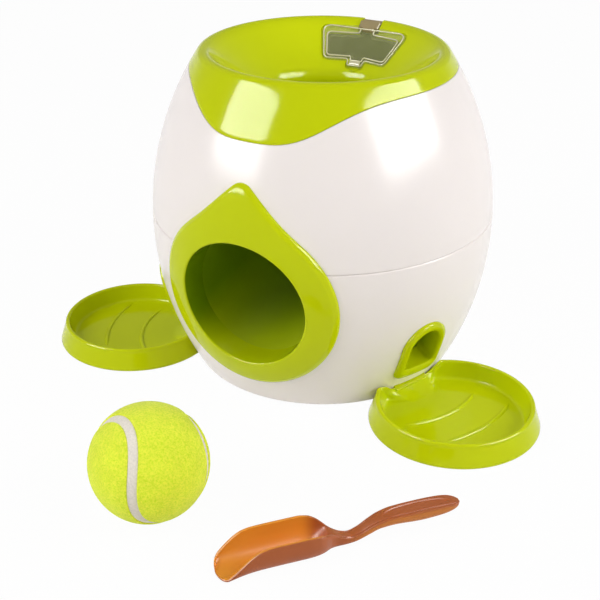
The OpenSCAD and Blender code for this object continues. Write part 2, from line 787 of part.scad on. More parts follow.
module scoop() {
    n = 68;
    m = 14;
    f = scoop_l / 134;
    // Closed loop at one station: the underside, then the hollow's floor back
    rows = [for (i = [0:n])
        let (s = 134 * i / n, w = lookup(s, scoop_half_at), z0 = lookup(s, scoop_low_at),
            z1 = max(lookup(s, scoop_rim_at), z0 + 0.8), z2 = lookup(s, scoop_hollow_at),
            t = min(1.5, w * 0.35))
        concat([for (j = [0:m]) let (a = -90 + 180 * j / m)
                [s * f, w * flat_sin(a), z0 + (z1 - z0) * (1 - flat_cos(a))]],
            [for (j = [0:m]) let (a = 90 - 180 * j / m)
                [s * f, (w - t) * flat_sin(a), z2 + (z1 - z2) * (1 - flat_cos(a)) + 0.01]])];
    w = 2 * m + 2;
    points = [for (r = rows, p = r) p];
    color("chocolate") translate([scoop_x, scoop_y, 0]) rotate([0, 0, scoop_turn])
        polyhedron(points = points, convexity = 8, faces = concat(
            [for (i = [0:n - 1], j = [0:w - 1]) [i * w + j, i * w + (j + 1) % w, (i + 1) * w + j]],
            [for (i = [0:n - 1], j = [0:w - 1])
                [i * w + (j + 1) % w, (i + 1) * w + (j + 1) % w, (i + 1) * w + j]],
            [for (j = [0:m - 1]) [j, w - 1 - j, j + 1]],
            [for (j = [0:m - 1]) [j + 1, w - 1 - j, w - 2 - j]],
            [for (j = [0:m - 1]) [n * w + j, n * w + j + 1, n * w + w - 1 - j]],
            [for (j = [0:m - 1]) [n * w + j + 1, n * w + w - 2 - j, n * w + w - 1 - j]]));
}

upper_shell();
lower_shell();
base_plate();
base_screws();
foot_pad();
top_bowl();
refill_lid();
lid_pin();
port_bezel();
ball_ramp();
treat_hopper();
rotor_shaft();
paddle_wheel();
left_drum();
right_drum();
shaft_clips();
left_chute();
right_chute();
left_outlet();
right_outlet();
left_tray();
right_tray();
core_half_a();
core_half_b();
felt_panel_a();
felt_panel_b();
seam_band();
scoop();
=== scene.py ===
"""Looks of a fetch ball and treat dispenser set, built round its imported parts."""
import json
import math

import bmesh
import bpy
import numpy as np
from mathutils import Matrix, Vector
from mathutils.geometry import delaunay_2d_cdt


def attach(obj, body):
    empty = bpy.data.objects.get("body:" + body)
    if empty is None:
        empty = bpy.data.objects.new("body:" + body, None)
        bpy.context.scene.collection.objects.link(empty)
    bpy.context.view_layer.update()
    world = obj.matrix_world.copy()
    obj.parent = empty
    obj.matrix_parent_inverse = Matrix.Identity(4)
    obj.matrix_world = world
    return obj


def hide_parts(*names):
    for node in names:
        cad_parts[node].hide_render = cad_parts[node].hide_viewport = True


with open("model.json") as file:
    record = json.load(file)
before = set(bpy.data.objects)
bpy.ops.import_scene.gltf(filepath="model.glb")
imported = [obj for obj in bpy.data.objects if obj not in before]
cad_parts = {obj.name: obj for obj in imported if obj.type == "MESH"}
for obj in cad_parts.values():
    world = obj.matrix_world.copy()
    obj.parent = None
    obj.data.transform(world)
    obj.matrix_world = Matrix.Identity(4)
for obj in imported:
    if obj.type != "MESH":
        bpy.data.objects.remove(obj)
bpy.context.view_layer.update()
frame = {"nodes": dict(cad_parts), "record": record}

MM = 0.001

# Driving sizes in millimetres, the same values as in the solids
BODY_R, BODY_ARC, BODY_MID = 109.0, 192.0, 96.0
SHELL_WALL = 2.6
CREST_Z, CREST_ROUND = 204.0, 5.0
SLOPE = math.radians(41.5)
THROAT_R, THROAT_END = 39.0, 152.0
BOWL_WALL = 2.4
SKIRT_Z, SKIRT_DROP, SKIRT_HALF = 194.3, 21.7, 86.0
LID_HALF, LID_TOP, LID_END = 27.2, 4.4, 30.6
TAB_HALF, TAB_END = 7.6, 35.2
LID_RECESS, LID_THICK = 1.2, 1.9
NOTCH_HALF = 7.4
PORT_Z, PORT_R, BEZEL_R = 76.5, 40.5, 57.5
TIP_Z, TIP_R, BEZEL_RISE = 151.5, 10.5, 3.2
COLLAR_Y, RAMP_R = -84.3, 40.0
OUTLET_AZ, OUTLET_HALF, OUTLET_LOW, OUTLET_TOP = 64.6, 16.5, 18.0, 59.0
CHUTE_LOW = 29.4
TRAY_AZ, TRAY_DIST, TRAY_RIM, TRAY_H, TRAY_FLARE = 66.4, 127.0, 47.5, 14.0, 4.75
BALL_R, FELT, SEAM_W, SEAM_A = 32.5, 3.0, 5.4, 0.793
BALL_AT, BALL_TURN = (3.6, -211.3, 32.5), (14.1, 3.3, 153.1)
SCOOP_AT, SCOOP_TURN = (61.4, -237.5), 47.3
# Forms that differ a little from the solids: throat's rounding, radius of the bezel's tip, hollow flanks
LIP_ROUND, SOFT_TIP_R, FLANK_HOLLOW = 12.0, TIP_R - 2.0, 0.4
# Bowl: play at the skirt's edge, thickness of its hidden parts, and end of the flange inside the shell
SKIRT_GAP, HIDDEN_WALL, HEM_Z = 0.12, BOWL_WALL + 0.6, 164.0
# Room round the lid, and round its tab's end
LID_ROOM, TAB_ROOM = 0.8, 0.9

SIN, COS = math.sin(SLOPE), math.cos(SLOPE)
CREST_MID_Z = CREST_Z - CREST_ROUND
CREST_MID_R = BODY_R - BODY_ARC + math.sqrt((BODY_ARC - CREST_ROUND) ** 2 - (CREST_MID_Z - BODY_MID) ** 2)
WALL_R0 = CREST_MID_R - CREST_ROUND * SIN
WALL_Z0 = CREST_MID_Z + CREST_ROUND * COS
LIP_R = THROAT_R + LIP_ROUND
LIP_Z = WALL_Z0 - (WALL_R0 - LIP_R) * SIN / COS - LIP_ROUND / COS
HINGE_Y, HINGE_Z = CREST_MID_R, CREST_MID_Z + 1.2
# Lower and upper face of the lid, measured out of the funnel's wall
LID_LOW = 0.2 - LID_RECESS
LID_HIGH = LID_LOW + LID_THICK
# Radius at the lid's middle, and the length of one degree of arc there
LID_MID_R = WALL_R0 - COS * (LID_TOP + LID_END) / 2
DEGREE_ARC = LID_MID_R * math.pi / 180


def side_r(z, inset=0.0):
    """Radius of the body's side at height z, moved in by inset."""
    return BODY_R - BODY_ARC + np.sqrt((BODY_ARC - inset) ** 2 - (z - BODY_MID) ** 2)


def step(value, low, high):
    """Smooth step from 0 at low to 1 at high."""
    t = np.clip((value - low) / (high - low), 0, 1)
    return t * t * (3 - 2 * t)


def arc(x, y, r, a0, a1, n):
    """Points of an arc, angles in degrees."""
    a = np.radians(np.linspace(a0, a1, n + 1))
    return np.stack([x + r * np.cos(a), y + r * np.sin(a)], 1)


def turned(points, degrees):
    """Points turned about the body's axis."""
    a = math.radians(degrees)
    spin = np.array([[math.cos(a), -math.sin(a), 0], [math.sin(a), math.cos(a), 0], [0, 0, 1]])
    return np.asarray(points) @ spin.T


def full_turn(count):
    """Evenly spaced angles round a full turn, in radians."""
    return np.linspace(0, 2 * np.pi, count, endpoint=False)


def short_way(angles):
    """Size of each angle from 0, the short way round, in radians."""
    return np.abs((angles + np.pi) % (2 * np.pi) - np.pi)


class Skin:
    """Collects points and faces of one mesh."""

    def __init__(self):
        self.points = []
        self.faces = []

    def grid(self, rows, round_rows=True, shut=False):
        """Quads between rows of points; rows may close on themselves, and the last row on the first."""
        n, m = len(rows), len(rows[0])
        faces = []
        for i in range(n if shut else n - 1):
            here, there = i * m, (i + 1) % n * m
            for j in range(m if round_rows else m - 1):
                k = (j + 1) % m
                faces.append((here + j, here + k, there + k, there + j))
        return self.add([point for row in rows for point in row], faces)

    def fan(self, row, middle):
        """Triangles from a closed row to one middle point."""
        m = len(row)
        return self.add([*row, middle], [(j, (j + 1) % m, m) for j in range(m)])

    def caps(self, *loops):
        """Closes loops of points with a fan each."""
        for loop in loops:
            self.fan(loop, np.mean(loop, 0))
        return self

    def add(self, points, faces):
        """Points with their own faces."""
        start = len(self.points)
        self.points.extend(map(tuple, points))
        self.faces.extend(tuple(start + i for i in face) for face in faces)
        return self

    def moved(self, matrix):
        """All points moved by a matrix."""
        self.points = [tuple(matrix @ Vector(p)) for p in self.points]
        return self

    def mesh(self, name, sharp=35.0):
        """Closed, smooth-shaded mesh in metres, with edges over the sharp angle kept crisp."""
        mesh = bpy.data.meshes.new(name)
        mesh.from_pydata([Vector(p) * MM for p in self.points], [], self.faces)
        work = bmesh.new()
        work.from_mesh(mesh)
        bmesh.ops.remove_doubles(work, verts=work.verts, dist=0.00001)
        bmesh.ops.dissolve_degenerate(work, edges=work.edges, dist=0.000005)
        bmesh.ops.recalc_face_normals(work, faces=work.faces)
        work.to_mesh(mesh)
        work.free()
        smooth(mesh, sharp)
        return mesh


def smooth(mesh, sharp):
    """Smooth shading with edges over the sharp angle kept crisp."""
    mesh.shade_smooth()
    mesh.set_sharp_from_angle(angle=math.radians(sharp))


def add_object(name, data):
    """Object for a mesh, lamp or camera, in the scene."""
    piece = bpy.data.objects.new(name, data)
    bpy.context.scene.collection.objects.link(piece)
    return piece


def place(mesh, body, slot, *nodes, material=None):
    """Adds a mesh as a piece on its body, with the given material or else the one of its slot, and hides
    the nodes it stands for, if any.
    """
    mesh.materials.clear()
    mesh.materials.append(material or MATERIALS[slot])
    piece = add_object(mesh.name, mesh)
    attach(piece, body)
    if nodes:
        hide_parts(*nodes)


def carve(mesh, cutters):
    """New mesh with the cutters cut out of the given one."""
    blocks = [add_object("block", block) for block in (mesh, *cutters)]
    for cutter in blocks[1:]:
        cut = blocks[0].modifiers.new("cut", "BOOLEAN")
        cut.object = cutter
        cut.solver = "EXACT"
        cut.operation = "DIFFERENCE"
    bpy.context.view_layer.update()
    made = bpy.data.meshes.new_from_object(blocks[0].evaluated_get(bpy.context.evaluated_depsgraph_get()))
    for block in blocks:
        bpy.data.objects.remove(block)
    return made


# Materials

def srgb(red, green, blue):
    """Linear colour of an 8-bit screen colour."""
    return [((c / 255 + 0.055) / 1.055) ** 2.4 if c > 10 else c / 255 / 12.92 for c in (red, green, blue)]


def feed(node, **inputs):
    """Links sockets to inputs of a node or sets plain values; an underscore stands for a space."""
    for name, value in inputs.items():
        socket = node.inputs[name.replace("_", " ")]
        if isinstance(value, bpy.types.NodeSocket):
            node.id_data.links.new(value, socket)
        else:
            socket.default_value = value
    return node


def empty_tree(owner):
    """Emptied node tree of a material or a world."""
    owner.use_nodes = True
    owner.node_tree.nodes.clear()
    return owner.node_tree


def new_material(name):
    """New material with its node tree and its shader."""
    material = bpy.data.materials.new(name)
    tree = empty_tree(material)
    shader = tree.nodes.new("ShaderNodeBsdfPrincipled")
    feed(tree.nodes.new("ShaderNodeOutputMaterial"), Surface=shader.outputs[0])
    return material, tree, shader


def noise(tree, scale, detail=2.0, roughness=0.5, stretch=None):
    """Noise in the part's own frame, scale in features per metre."""
    where = tree.nodes.new("ShaderNodeTexCoord").outputs["Object"]
    if stretch is not None:
        where = feed(tree.nodes.new("ShaderNodeMapping"), Vector=where, Scale=stretch).outputs["Vector"]
    texture = tree.nodes.new("ShaderNodeTexNoise")
    return feed(texture, Vector=where, Scale=scale, Detail=detail, Roughness=roughness).outputs["Fac"]


def ramp(source, low, high, from_low=0.3, from_high=0.7):
    """Colours between low and high by a source value."""
    node = feed(source.id_data.nodes.new("ShaderNodeValToRGB"), Fac=source)
    stops = node.color_ramp.elements
    stops[0].position, stops[1].position = from_low, from_high
    stops[0].color, stops[1].color = (*low, 1), (*high, 1)
    return node.outputs["Color"]


def span(source, low, high):
    """Value moved from 0..1 to low..high."""
    node = source.id_data.nodes.new("ShaderNodeMapRange")
    return feed(node, Value=source, To_Min=low, To_Max=high).outputs["Result"]


def bump(source, strength, distance):
    """Surface relief from a source value, distance in metres."""
    node = source.id_data.nodes.new("ShaderNodeBump")
    return feed(node, Height=source, Strength=strength, Distance=distance).outputs["Normal"]


def blend(factor, first, second, kind="MIX"):
    """Two colours mixed by a factor."""
    node = first.id_data.nodes.new("ShaderNodeMix")
    node.data_type = "RGBA"
    node.blend_type = kind
    return feed(node, Factor=factor, A=first, B=second).outputs["Result"]


# Plastics: features per metre of tone and gloss; depth of the skin and reach of scattered light in metres
TONE_SCALE, GLOSS_SCALE = 14, 60
SKIN_DEPTH, SCATTER_REACH = 0.0002, (0.004, 0.004, 0.003)


def plastic(name, colour, rough, vary, relief, grain, scatter=0.0, mirror=0.5):
    """Moulded plastic: faint tone changes, soft uneven gloss and a fine skin."""
    material, tree, shader = new_material(name)
    low = [c * (1 - vary) for c in colour]
    high = [min(1.0, c * (1 + vary)) for c in colour]
    feed(shader, Base_Color=ramp(noise(tree, TONE_SCALE, 3), low, high), Specular_IOR_Level=mirror,
         Roughness=span(noise(tree, GLOSS_SCALE, 4), rough * 0.82, rough * 1.18),
         Normal=bump(noise(tree, grain, 2), relief, SKIN_DEPTH))
    if scatter > 0:
        feed(shader, Subsurface_Weight=scatter, Subsurface_Radius=SCATTER_REACH, Subsurface_Scale=1.0)
    return material


def steel(name):
    """Turned steel with fine lines round the part."""
    material, tree, shader = new_material(name)
    lines = noise(tree, 900, 3, 0.6, (0.05, 1, 1))
    feed(shader, Base_Color=ramp(lines, srgb(150, 150, 152), srgb(196, 196, 198)), Metallic=1.0,
         Roughness=span(lines, 0.24, 0.4), Normal=bump(lines, 0.1, 0.0001))
    return material


def rubber(name, colour, grain=700.0):
    """Matte rubber or foam with a pebbled skin."""
    material, tree, shader = new_material(name)
    pebble = noise(tree, grain, 3, 0.6)
    low = [c * 0.86 for c in colour]
    high = [min(1.0, c * 1.08) for c in colour]
    feed(shader, Base_Color=ramp(pebble, low, high), Roughness=span(pebble, 0.7, 0.92),
         Normal=bump(pebble, 0.35, 0.0003))
    return material


def felt_cloth(name):
    """Fluorescent wool felt: matted short fibres, pale tips and a soft sheen."""
    material, tree, shader = new_material(name)
    matted = noise(tree, 900, 6, 0.7)
    patches = noise(tree, 120, 4, 0.6)
    fine = ramp(matted, srgb(210, 236, 4), srgb(252, 255, 74), 0.36, 0.64)
    wide = ramp(patches, srgb(228, 232, 200), srgb(255, 255, 255), 0.35, 0.65)
    feed(shader, Base_Color=blend(0.3, fine, wide, "MULTIPLY"), Roughness=0.95, Specular_IOR_Level=0.15,
         Sheen_Weight=0.25, Sheen_Roughness=0.5, Sheen_Tint=(0.9, 1.0, 0.55, 1),
         Normal=bump(matted, 0.7, 0.0008))
    return material


def clear_plastic(name):
    """Clear moulded plastic with a few faint flow marks."""
    material, tree, shader = new_material(name)
    marks = noise(tree, 120, 3)
    feed(shader, Base_Color=ramp(marks, srgb(196, 202, 140), srgb(210, 214, 156)), Alpha=0.2,
         Roughness=span(marks, 0.1, 0.18), Specular_IOR_Level=0.25, Normal=bump(marks, 0.05, SKIN_DEPTH))
    return material


def with_painted_shading(material, painted_shading):
    """Gives a plastic a second tone of painted light and shade where a mesh's painted shading value is 1,
    as inside a hollow.
    """
    tree = material.node_tree
    shader = next(node for node in tree.nodes if node.type == "BSDF_PRINCIPLED")
    plain = shader.inputs["Base Color"].links[0].from_socket
    where = tree.nodes.new("ShaderNodeAttribute")
    where.attribute_name = "painted_shading"
    second = ramp(noise(tree, TONE_SCALE, 3), [c * 0.95 for c in painted_shading], painted_shading)
    feed(shader, Base_Color=blend(where.outputs["Fac"], plain, second))
    return material


def glossy_lime(name, painted_shading):
    """Lime plastic of the bowl, bezel, outlets and trays, with a second tone for painted light and shade.
    """
    return with_painted_shading(plastic(name, LIME, 0.11, 0.02, 0.02, 140, 0.04, 0.14), painted_shading)


def set_painted_shading(mesh, values):
    """Stores how much painted light and shade each point of a mesh gets."""
    painted_shading = mesh.attributes.new("painted_shading", "FLOAT", "POINT")
    painted_shading.data.foreach_set("value", np.asarray(values, np.float32))


def mesh_points(mesh):
    """Points of a mesh in millimetres."""
    return np.array([vert.co for vert in mesh.vertices]) / MM


# Lime, a darker lime painted as shade in hollows, and a paler lime painted as light
LIME, LIME_PAINTED_SHADE, LIME_PAINTED_LIGHT = srgb(194, 206, 4), srgb(112, 142, 2), srgb(208, 220, 6)
# Plastics are given by colour, roughness, tone change, relief, grain, scatter and mirror
MATERIALS = {
    "white_shell": plastic("white_gloss_plastic", srgb(240, 233, 230), 0.24, 0.008, 0.03, 120, 0.05, 0.16),
    "white_base": plastic("white_satin_plastic", srgb(226, 223, 220), 0.4, 0.02, 0.15, 700),
    "steel": steel("turned_steel"),
    "foot_rubber": rubber("foot_foam", srgb(62, 62, 62)),
    # Lime gloss, with the darker lime painted as shade inside the port's and outlets' mouths
    "lime_gloss": glossy_lime("lime_gloss_plastic", LIME_PAINTED_SHADE),
    # Painted shade: parts inside the body get a darker lime, and the full lime is painted light where a
    # mesh asks for it
    "lime_inner": with_painted_shading(
        plastic("lime_painted_shading_plastic", srgb(128, 158, 4), 0.4, 0.03, 0.1, 420, 0.0, 0.2), LIME),
    "clear_lid": clear_plastic("clear_plastic"),
    "hopper_plastic": plastic("olive_plastic", srgb(112, 124, 44), 0.45, 0.04, 0.2, 500),
    "rotor_plastic": plastic("rotor_white_plastic", srgb(222, 220, 214), 0.4, 0.03, 0.15, 500),
    "clip_plastic": plastic("dark_clip_plastic", srgb(70, 70, 70), 0.5, 0.05, 0.2, 700),
    "core_rubber": rubber("ball_core_rubber", srgb(88, 84, 78), 400),
    "ball_felt": felt_cloth("ball_felt"),
    "seam_rubber": rubber("seam_rubber", srgb(224, 216, 204), 900),
    # Painted light: the scoop's inside and the sides of its grip get a paler orange
    "scoop_plastic": with_painted_shading(
        plastic("orange_brown_plastic", srgb(168, 86, 34), 0.42, 0.04, 0.08, 420, 0.06, 0.3),
        srgb(230, 147, 40)),
}
# Painted light: the funnel is a little paler than the bowl's skirt, as light falls into it from above
BOWL_LIME_WITH_PAINTED_LIGHT = glossy_lime("lime_bowl_painted_light_plastic", LIME_PAINTED_LIGHT)
# Pale raised lines of the lid, and its hinge block
LID_TRIM = plastic("pale_trim_plastic", srgb(214, 207, 176), 0.2, 0.05, 0.1, 300)
LID_HINGE = plastic("smoky_plastic", srgb(158, 142, 104), 0.25, 0.08, 0.2, 300, 0.0, 0.3)


def finish_cad_nodes():
    """Carried-over solids get the material of their slot, and the ramp painted light: a paler floor near
    the port.
    """
    for part in frame["record"]["subparts"]:
        node = frame["nodes"][part["node"]]
        node.data.materials.clear()
        node.data.materials.append(MATERIALS[part["material_slot"]])
    # Painted light on the tunnel's floor near the port, on a lime painted dark as shade
    tunnel = frame["nodes"]["ball_ramp"].data
    _, y, z = mesh_points(tunnel).T
    near_port, low_down = step(-y, 35, 75), 1 - step(z, 48, 66)
    set_painted_shading(tunnel, 0.7 * near_port * low_down)


# Top bowl and its lid

def skirt_edge(angles):
    """Height of the skirt's wavy edge at each angle from the back, by a few rounds of the implicit rule."""
    z = np.full(len(angles), SKIRT_Z)
    front = np.cos(angles) < 0
    for _ in range(12):
        x = side_r(z) * np.sin(angles)
        c = (1 + np.cos(np.pi * np.clip(x / SKIRT_HALF, -1, 1))) / 2
        z = np.where(front, SKIRT_Z - SKIRT_DROP * c * c * (3 - 2 * c), SKIRT_Z)
    return z


def bowl_mesh():
    """Skirt, crest, funnel and throat as one closed lathe form with a wavy lower edge."""
    angles = full_turn(360)
    edge = skirt_edge(angles) + SKIRT_GAP
    crest_start = math.atan2(CREST_MID_Z - BODY_MID, CREST_MID_R - BODY_R + BODY_ARC)
    top = BODY_MID + BODY_ARC * math.sin(crest_start)
    under_top = BODY_MID + (BODY_ARC - HIDDEN_WALL) * math.sin(crest_start)
    turn = math.degrees(crest_start), 90 + math.degrees(SLOPE)
    # Skirt, from its rounded edge up to the crest
    profile = [(side_r(edge + up, back), edge + up) for up, back in ((0, 0.55), (0.12, 0.18), (0.5, 0.0))]
    for t in np.linspace(0.08, 1, 14):
        z = edge + 0.5 + (top - edge - 0.5) * t
        profile.append((side_r(z), z))
    # Crest, funnel, rounded lip and throat
    lip = arc(LIP_R, LIP_Z, LIP_ROUND, turn[1], 180, 7)
    profile += list(arc(CREST_MID_R, CREST_MID_Z, CREST_ROUND, *turn, 14)[1:])
    profile += list(np.linspace((WALL_R0, WALL_Z0), lip[0], 14)[1:-1])
    profile += list(lip)
    profile += list(np.linspace((THROAT_R, LIP_Z), (THROAT_R, THROAT_END), 5)[1:])
    # Back of the throat, funnel and crest
    tube = THROAT_R + BOWL_WALL
    under = WALL_Z0 - (WALL_R0 - tube) * SIN / COS - BOWL_WALL / COS
    inner = arc(CREST_MID_R, CREST_MID_Z, CREST_ROUND - HIDDEN_WALL, *turn[::-1], 6)
    profile += list(np.linspace((tube, THROAT_END), (tube, under), 4))
    profile += list(np.linspace((tube, under), inner[0], 10)[1:-1])
    profile += list(inner)
    # Flange inside the shell, down to the hem and back up to the skirt's edge
    for z in np.linspace(under_top - 2, HEM_Z, 7):
        profile.append((side_r(z, SHELL_WALL + 1.7), z))
    for t in np.linspace(0, 1, 5):
        z = HEM_Z + (edge - HEM_Z) * t
        profile.append((side_r(z, SHELL_WALL + 0.15), z))
    # Angle 0 is the back; each entry of the profile is one value or one for each angle
    rows = [np.stack([r * np.sin(angles), r * np.cos(angles), z + 0 * angles], 1) for r, z in profile]
    return Skin().grid(rows, shut=True).mesh("uncut_bowl", 40)


def wall_points(flat, h):
    """Points of the funnel wall: flat is (arc length across, length down the slope), h out of the wall."""
    flat = np.asarray(flat, float)
    angle = flat[:, 0] / LID_MID_R
    r = WALL_R0 - COS * flat[:, 1] - SIN * h
    z = WALL_Z0 - SIN * flat[:, 1] + COS * h
    return np.stack([r * np.sin(angle), r * np.cos(angle), z], 1)


def rounded(corners, steps=6):
    """Closed outline with each corner (x, y, radius) rounded off."""
    points = []
    n = len(corners)
    for i, (x, y, r) in enumerate(corners):
        here = np.array([x, y])
        back = np.array(corners[i - 1][:2]) - here
        ahead = np.array(corners[(i + 1) % n][:2]) - here
        back_len, ahead_len = np.linalg.norm(back), np.linalg.norm(ahead)
        back, ahead = back / back_len, ahead / ahead_len
        half = math.acos(max(-1.0, min(1.0, float(back @ ahead)))) / 2
        reach = min(r / math.tan(half), back_len * 0.48, ahead_len * 0.48)
        first, last = here + back * reach, here + ahead * reach
        for t in np.linspace(0, 1, steps + 1):
            points.append((1 - t) ** 2 * first + 2 * t * (1 - t) * here + t ** 2 * last)
    return np.array(points)


def both_sides(corners):
    """Corners mirrored to the negative side, then the given ones in reverse."""
    return [(-x, y, r) for x, y, r in corners] + list(corners[::-1])


def inset(outline, distance):
    """Outline moved inward by a distance, point by point."""
    if distance == 0:
        return outline
    ahead = np.roll(outline, -1, 0) - outline
    back = outline - np.roll(outline, 1, 0)
    along = ahead / np.linalg.norm(ahead, axis=1)[:, None] + back / np.linalg.norm(back, axis=1)[:, None]
    along /= np.linalg.norm(along, axis=1)[:, None]
    area = np.sum(outline[:, 0] * np.roll(outline[:, 1], -1) - outline[:, 1] * np.roll(outline[:, 0], -1))
    side = np.stack([-along[:, 1], along[:, 0]], 1) * (1 if area > 0 else -1)
    return outline + side * distance


def filled(outline, spacing=2.0):
    """Triangles that fill a flat outline, with inner points so that they can bend."""
    low, high, n = outline.min(0), outline.max(0), len(outline)
    core = inset(outline, spacing * 0.6)
    across, down = (np.arange(low[i] + spacing / 2, high[i], spacing) for i in (0, 1))
    inner = [(x, y) for x in across for y in down if inside(core, x, y)]
    points = [Vector(p) for p in (*outline, *inner)]
    made = delaunay_2d_cdt(points, [(i, (i + 1) % n) for i in range(n)], [], 1, 1e-6)
    return np.array([tuple(p) for p in made[0]]), [tuple(f) for f in made[2]]


def inside(outline, x, y):
    """True if a point is inside a flat outline."""
    x0, y0 = outline[:, 0], outline[:, 1]
    x1, y1 = np.roll(x0, -1), np.roll(y0, -1)
    crosses = (y0 > y) != (y1 > y)
    at = x0 + (y - y0) * (x1 - x0) / np.where(y1 == y0, 1e-9, y1 - y0)
    return bool(np.sum(crosses & (x < at)) % 2)


def wall_block(outline, rows):
    """Closed block on the funnel wall: rows are (inset, height) from the lower cap to the upper."""
    skin = Skin().grid([wall_points(inset(outline, d), h) for d, h in rows])
    for d, h in (rows[0], rows[-1]):
        flat, faces = filled(inset(outline, d))
        skin.add(wall_points(flat, h), faces)
    return skin


def lid_outline(grow=0.0, tab_grow=0.0, arm=True):
    """Outline of the lid: a sector with a finger tab below and a hinge arm above."""
    half, tab = LID_HALF * DEGREE_ARC + grow, TAB_HALF * DEGREE_ARC + grow
    top, low, end = LID_TOP - grow, LID_END + grow, TAB_END + grow + tab_grow
    corners = both_sides([(half, top, 5.5), (half, low, 5.0), (tab, low, 1.6), (tab * 0.94, end, 3.0)])
    if arm:
        width = (NOTCH_HALF - 0.4 + grow) * LID_MID_R / (WALL_R0 - COS * LID_TOP)
        corners += both_sides([(width, top, 1.0), (width, 0.6, 0.9)])[::-1]
    return rounded(corners)


def window_outline(grow=0.0):
    """Outline of the opening under the lid."""
    half, tab = (LID_HALF - 3.0) * DEGREE_ARC + grow, (TAB_HALF - 2.6) * DEGREE_ARC + grow
    top, low, arm = LID_TOP + 5.8 - grow, LID_END - 2.8 + grow, 4.2 + grow
    corners = both_sides([(half, top, 3.4), (half, low, 3.4), (tab, low, 1.0), (tab, low + 3.0, 1.4)])
    return rounded(corners + both_sides([(arm, top, 1.0), (arm, top - 3.4, 1.2)])[::-1])


def box(low, high):
    """Closed box between two corners."""
    corners = [(x, y, z) for z in (low[2], high[2]) for y in (low[1], high[1]) for x in (low[0], high[0])]
    faces = [(0, 1, 3, 2), (4, 6, 7, 5), (0, 4, 5, 1), (2, 3, 7, 6), (0, 2, 6, 4), (1, 5, 7, 3)]
    return Skin().add(corners, faces)


def build_bowl():
    """Top bowl with the lid's recess, window and hinge notch."""
    # The cutters reach well over and under the funnel's wall
    above, below = 6, 9
    recess = wall_block(lid_outline(LID_ROOM, TAB_ROOM, False), [(0, -LID_RECESS), (0, above)])
    window = wall_block(window_outline(LID_ROOM), [(0, -below), (0, above)])
    tilt = Matrix.Translation((0, WALL_R0, WALL_Z0)) @ Matrix.Rotation(SLOPE, 4, "X")
    notch_low, notch_high = (-NOTCH_HALF, -LID_TOP - 3.4, -8), (NOTCH_HALF, 11.6 - LID_TOP, 12)
    notch = box(notch_low, notch_high).moved(tilt)
    bowl = carve(bowl_mesh(), [cutter.mesh("cutter") for cutter in (recess, window, notch)])
    bowl.name = "bowl_moulding"
    smooth(bowl, 32)
    # Painted light: the funnel has the paler tone, up to the crest
    x, y, _ = mesh_points(bowl).T
    set_painted_shading(bowl, 1 - step(np.hypot(x, y), WALL_R0 - 4, WALL_R0 + 2))
    place(bowl, "dispenser", "lime_gloss", "top_bowl", material=BOWL_LIME_WITH_PAINTED_LIGHT)


def build_finger_ledge():
    """Small ledge on the funnel that leads a finger under the lid's tab."""
    half, down, bow, width, height = 7.2, 37.9, 2.8, 0.6, 0.5
    along = np.linspace(-1, 1, 33)
    taper = np.sqrt(np.maximum(1 - along ** 2, 0.002))
    line = down - bow * along ** 2
    rows = []
    for k in np.linspace(0, np.pi, 9):
        flat = np.stack([half * along, line - width * taper * np.cos(k)], 1)
        rows.append(wall_points(flat, height * taper * np.sin(k)))
    rows.append(wall_points(np.stack([half * along, line], 1), -height))
    skin = Skin().grid(rows, round_rows=False, shut=True)
    skin.caps(*([row[end] for row in rows] for end in (0, -1)))
    place(skin.mesh("finger_ledge", 40), "dispenser", "lime_gloss")


def bead(outline, width, height):
    """Rounded ridge along a closed outline on the lid, from the outline inward."""
    sunk = LID_HIGH - 0.3
    rows = [(0, sunk)]
    for k in np.linspace(0, np.pi, 7):
        rows.append((width * (1 - np.cos(k)) / 2, LID_HIGH + height * np.sin(k)))
    rows.append((width, sunk))
    return Skin().grid([wall_points(inset(outline, d), h) for d, h in rows], shut=True)


def build_lid():
    """Clear lid: a bevelled plate and a rib that fits the window."""
    plate = wall_block(lid_outline(), [(0.15, LID_LOW), (0, LID_LOW + 0.2), (0, LID_HIGH - 0.35),
                                       (0.1, LID_HIGH - 0.1), (0.4, LID_HIGH)])
    rib_out, rib_in = window_outline(-0.5), window_outline(-1.5)
    rib_top, rib_end = LID_LOW + 0.1, LID_LOW - 1.6
    section = ((rib_out, rib_top), (rib_out, rib_end), (rib_in, rib_end), (rib_in, rib_top))
    plate.grid([wall_points(outline, h) for outline, h in section], shut=True)
    place(plate.mesh("clear_lid", 30), "lid", "clear_lid", "refill_lid")


def build_lid_lines():
    """Raised lines along the lid's edge and window, and a pad on its tab."""
    trim = bead(inset(lid_outline(arm=False), 0.4), 0.75, 0.35)
    line = bead(window_outline(0.5), 0.85, 0.4)
    trim.add(line.points, line.faces)
    half, start, end = TAB_HALF * DEGREE_ARC * 0.62, LID_END + 0.9, TAB_END - 1.5
    outline = rounded(both_sides([(half, start, 0.8), (half, end, 1.6)]))
    pad = wall_block(outline, [(0, LID_HIGH - 0.2), (0, LID_HIGH + 0.2), (0.35, LID_HIGH + 0.4)])
    trim.add(pad.points, pad.faces)
    place(trim.mesh("lid_lines", 40), "lid", "clear_lid", material=LID_TRIM)


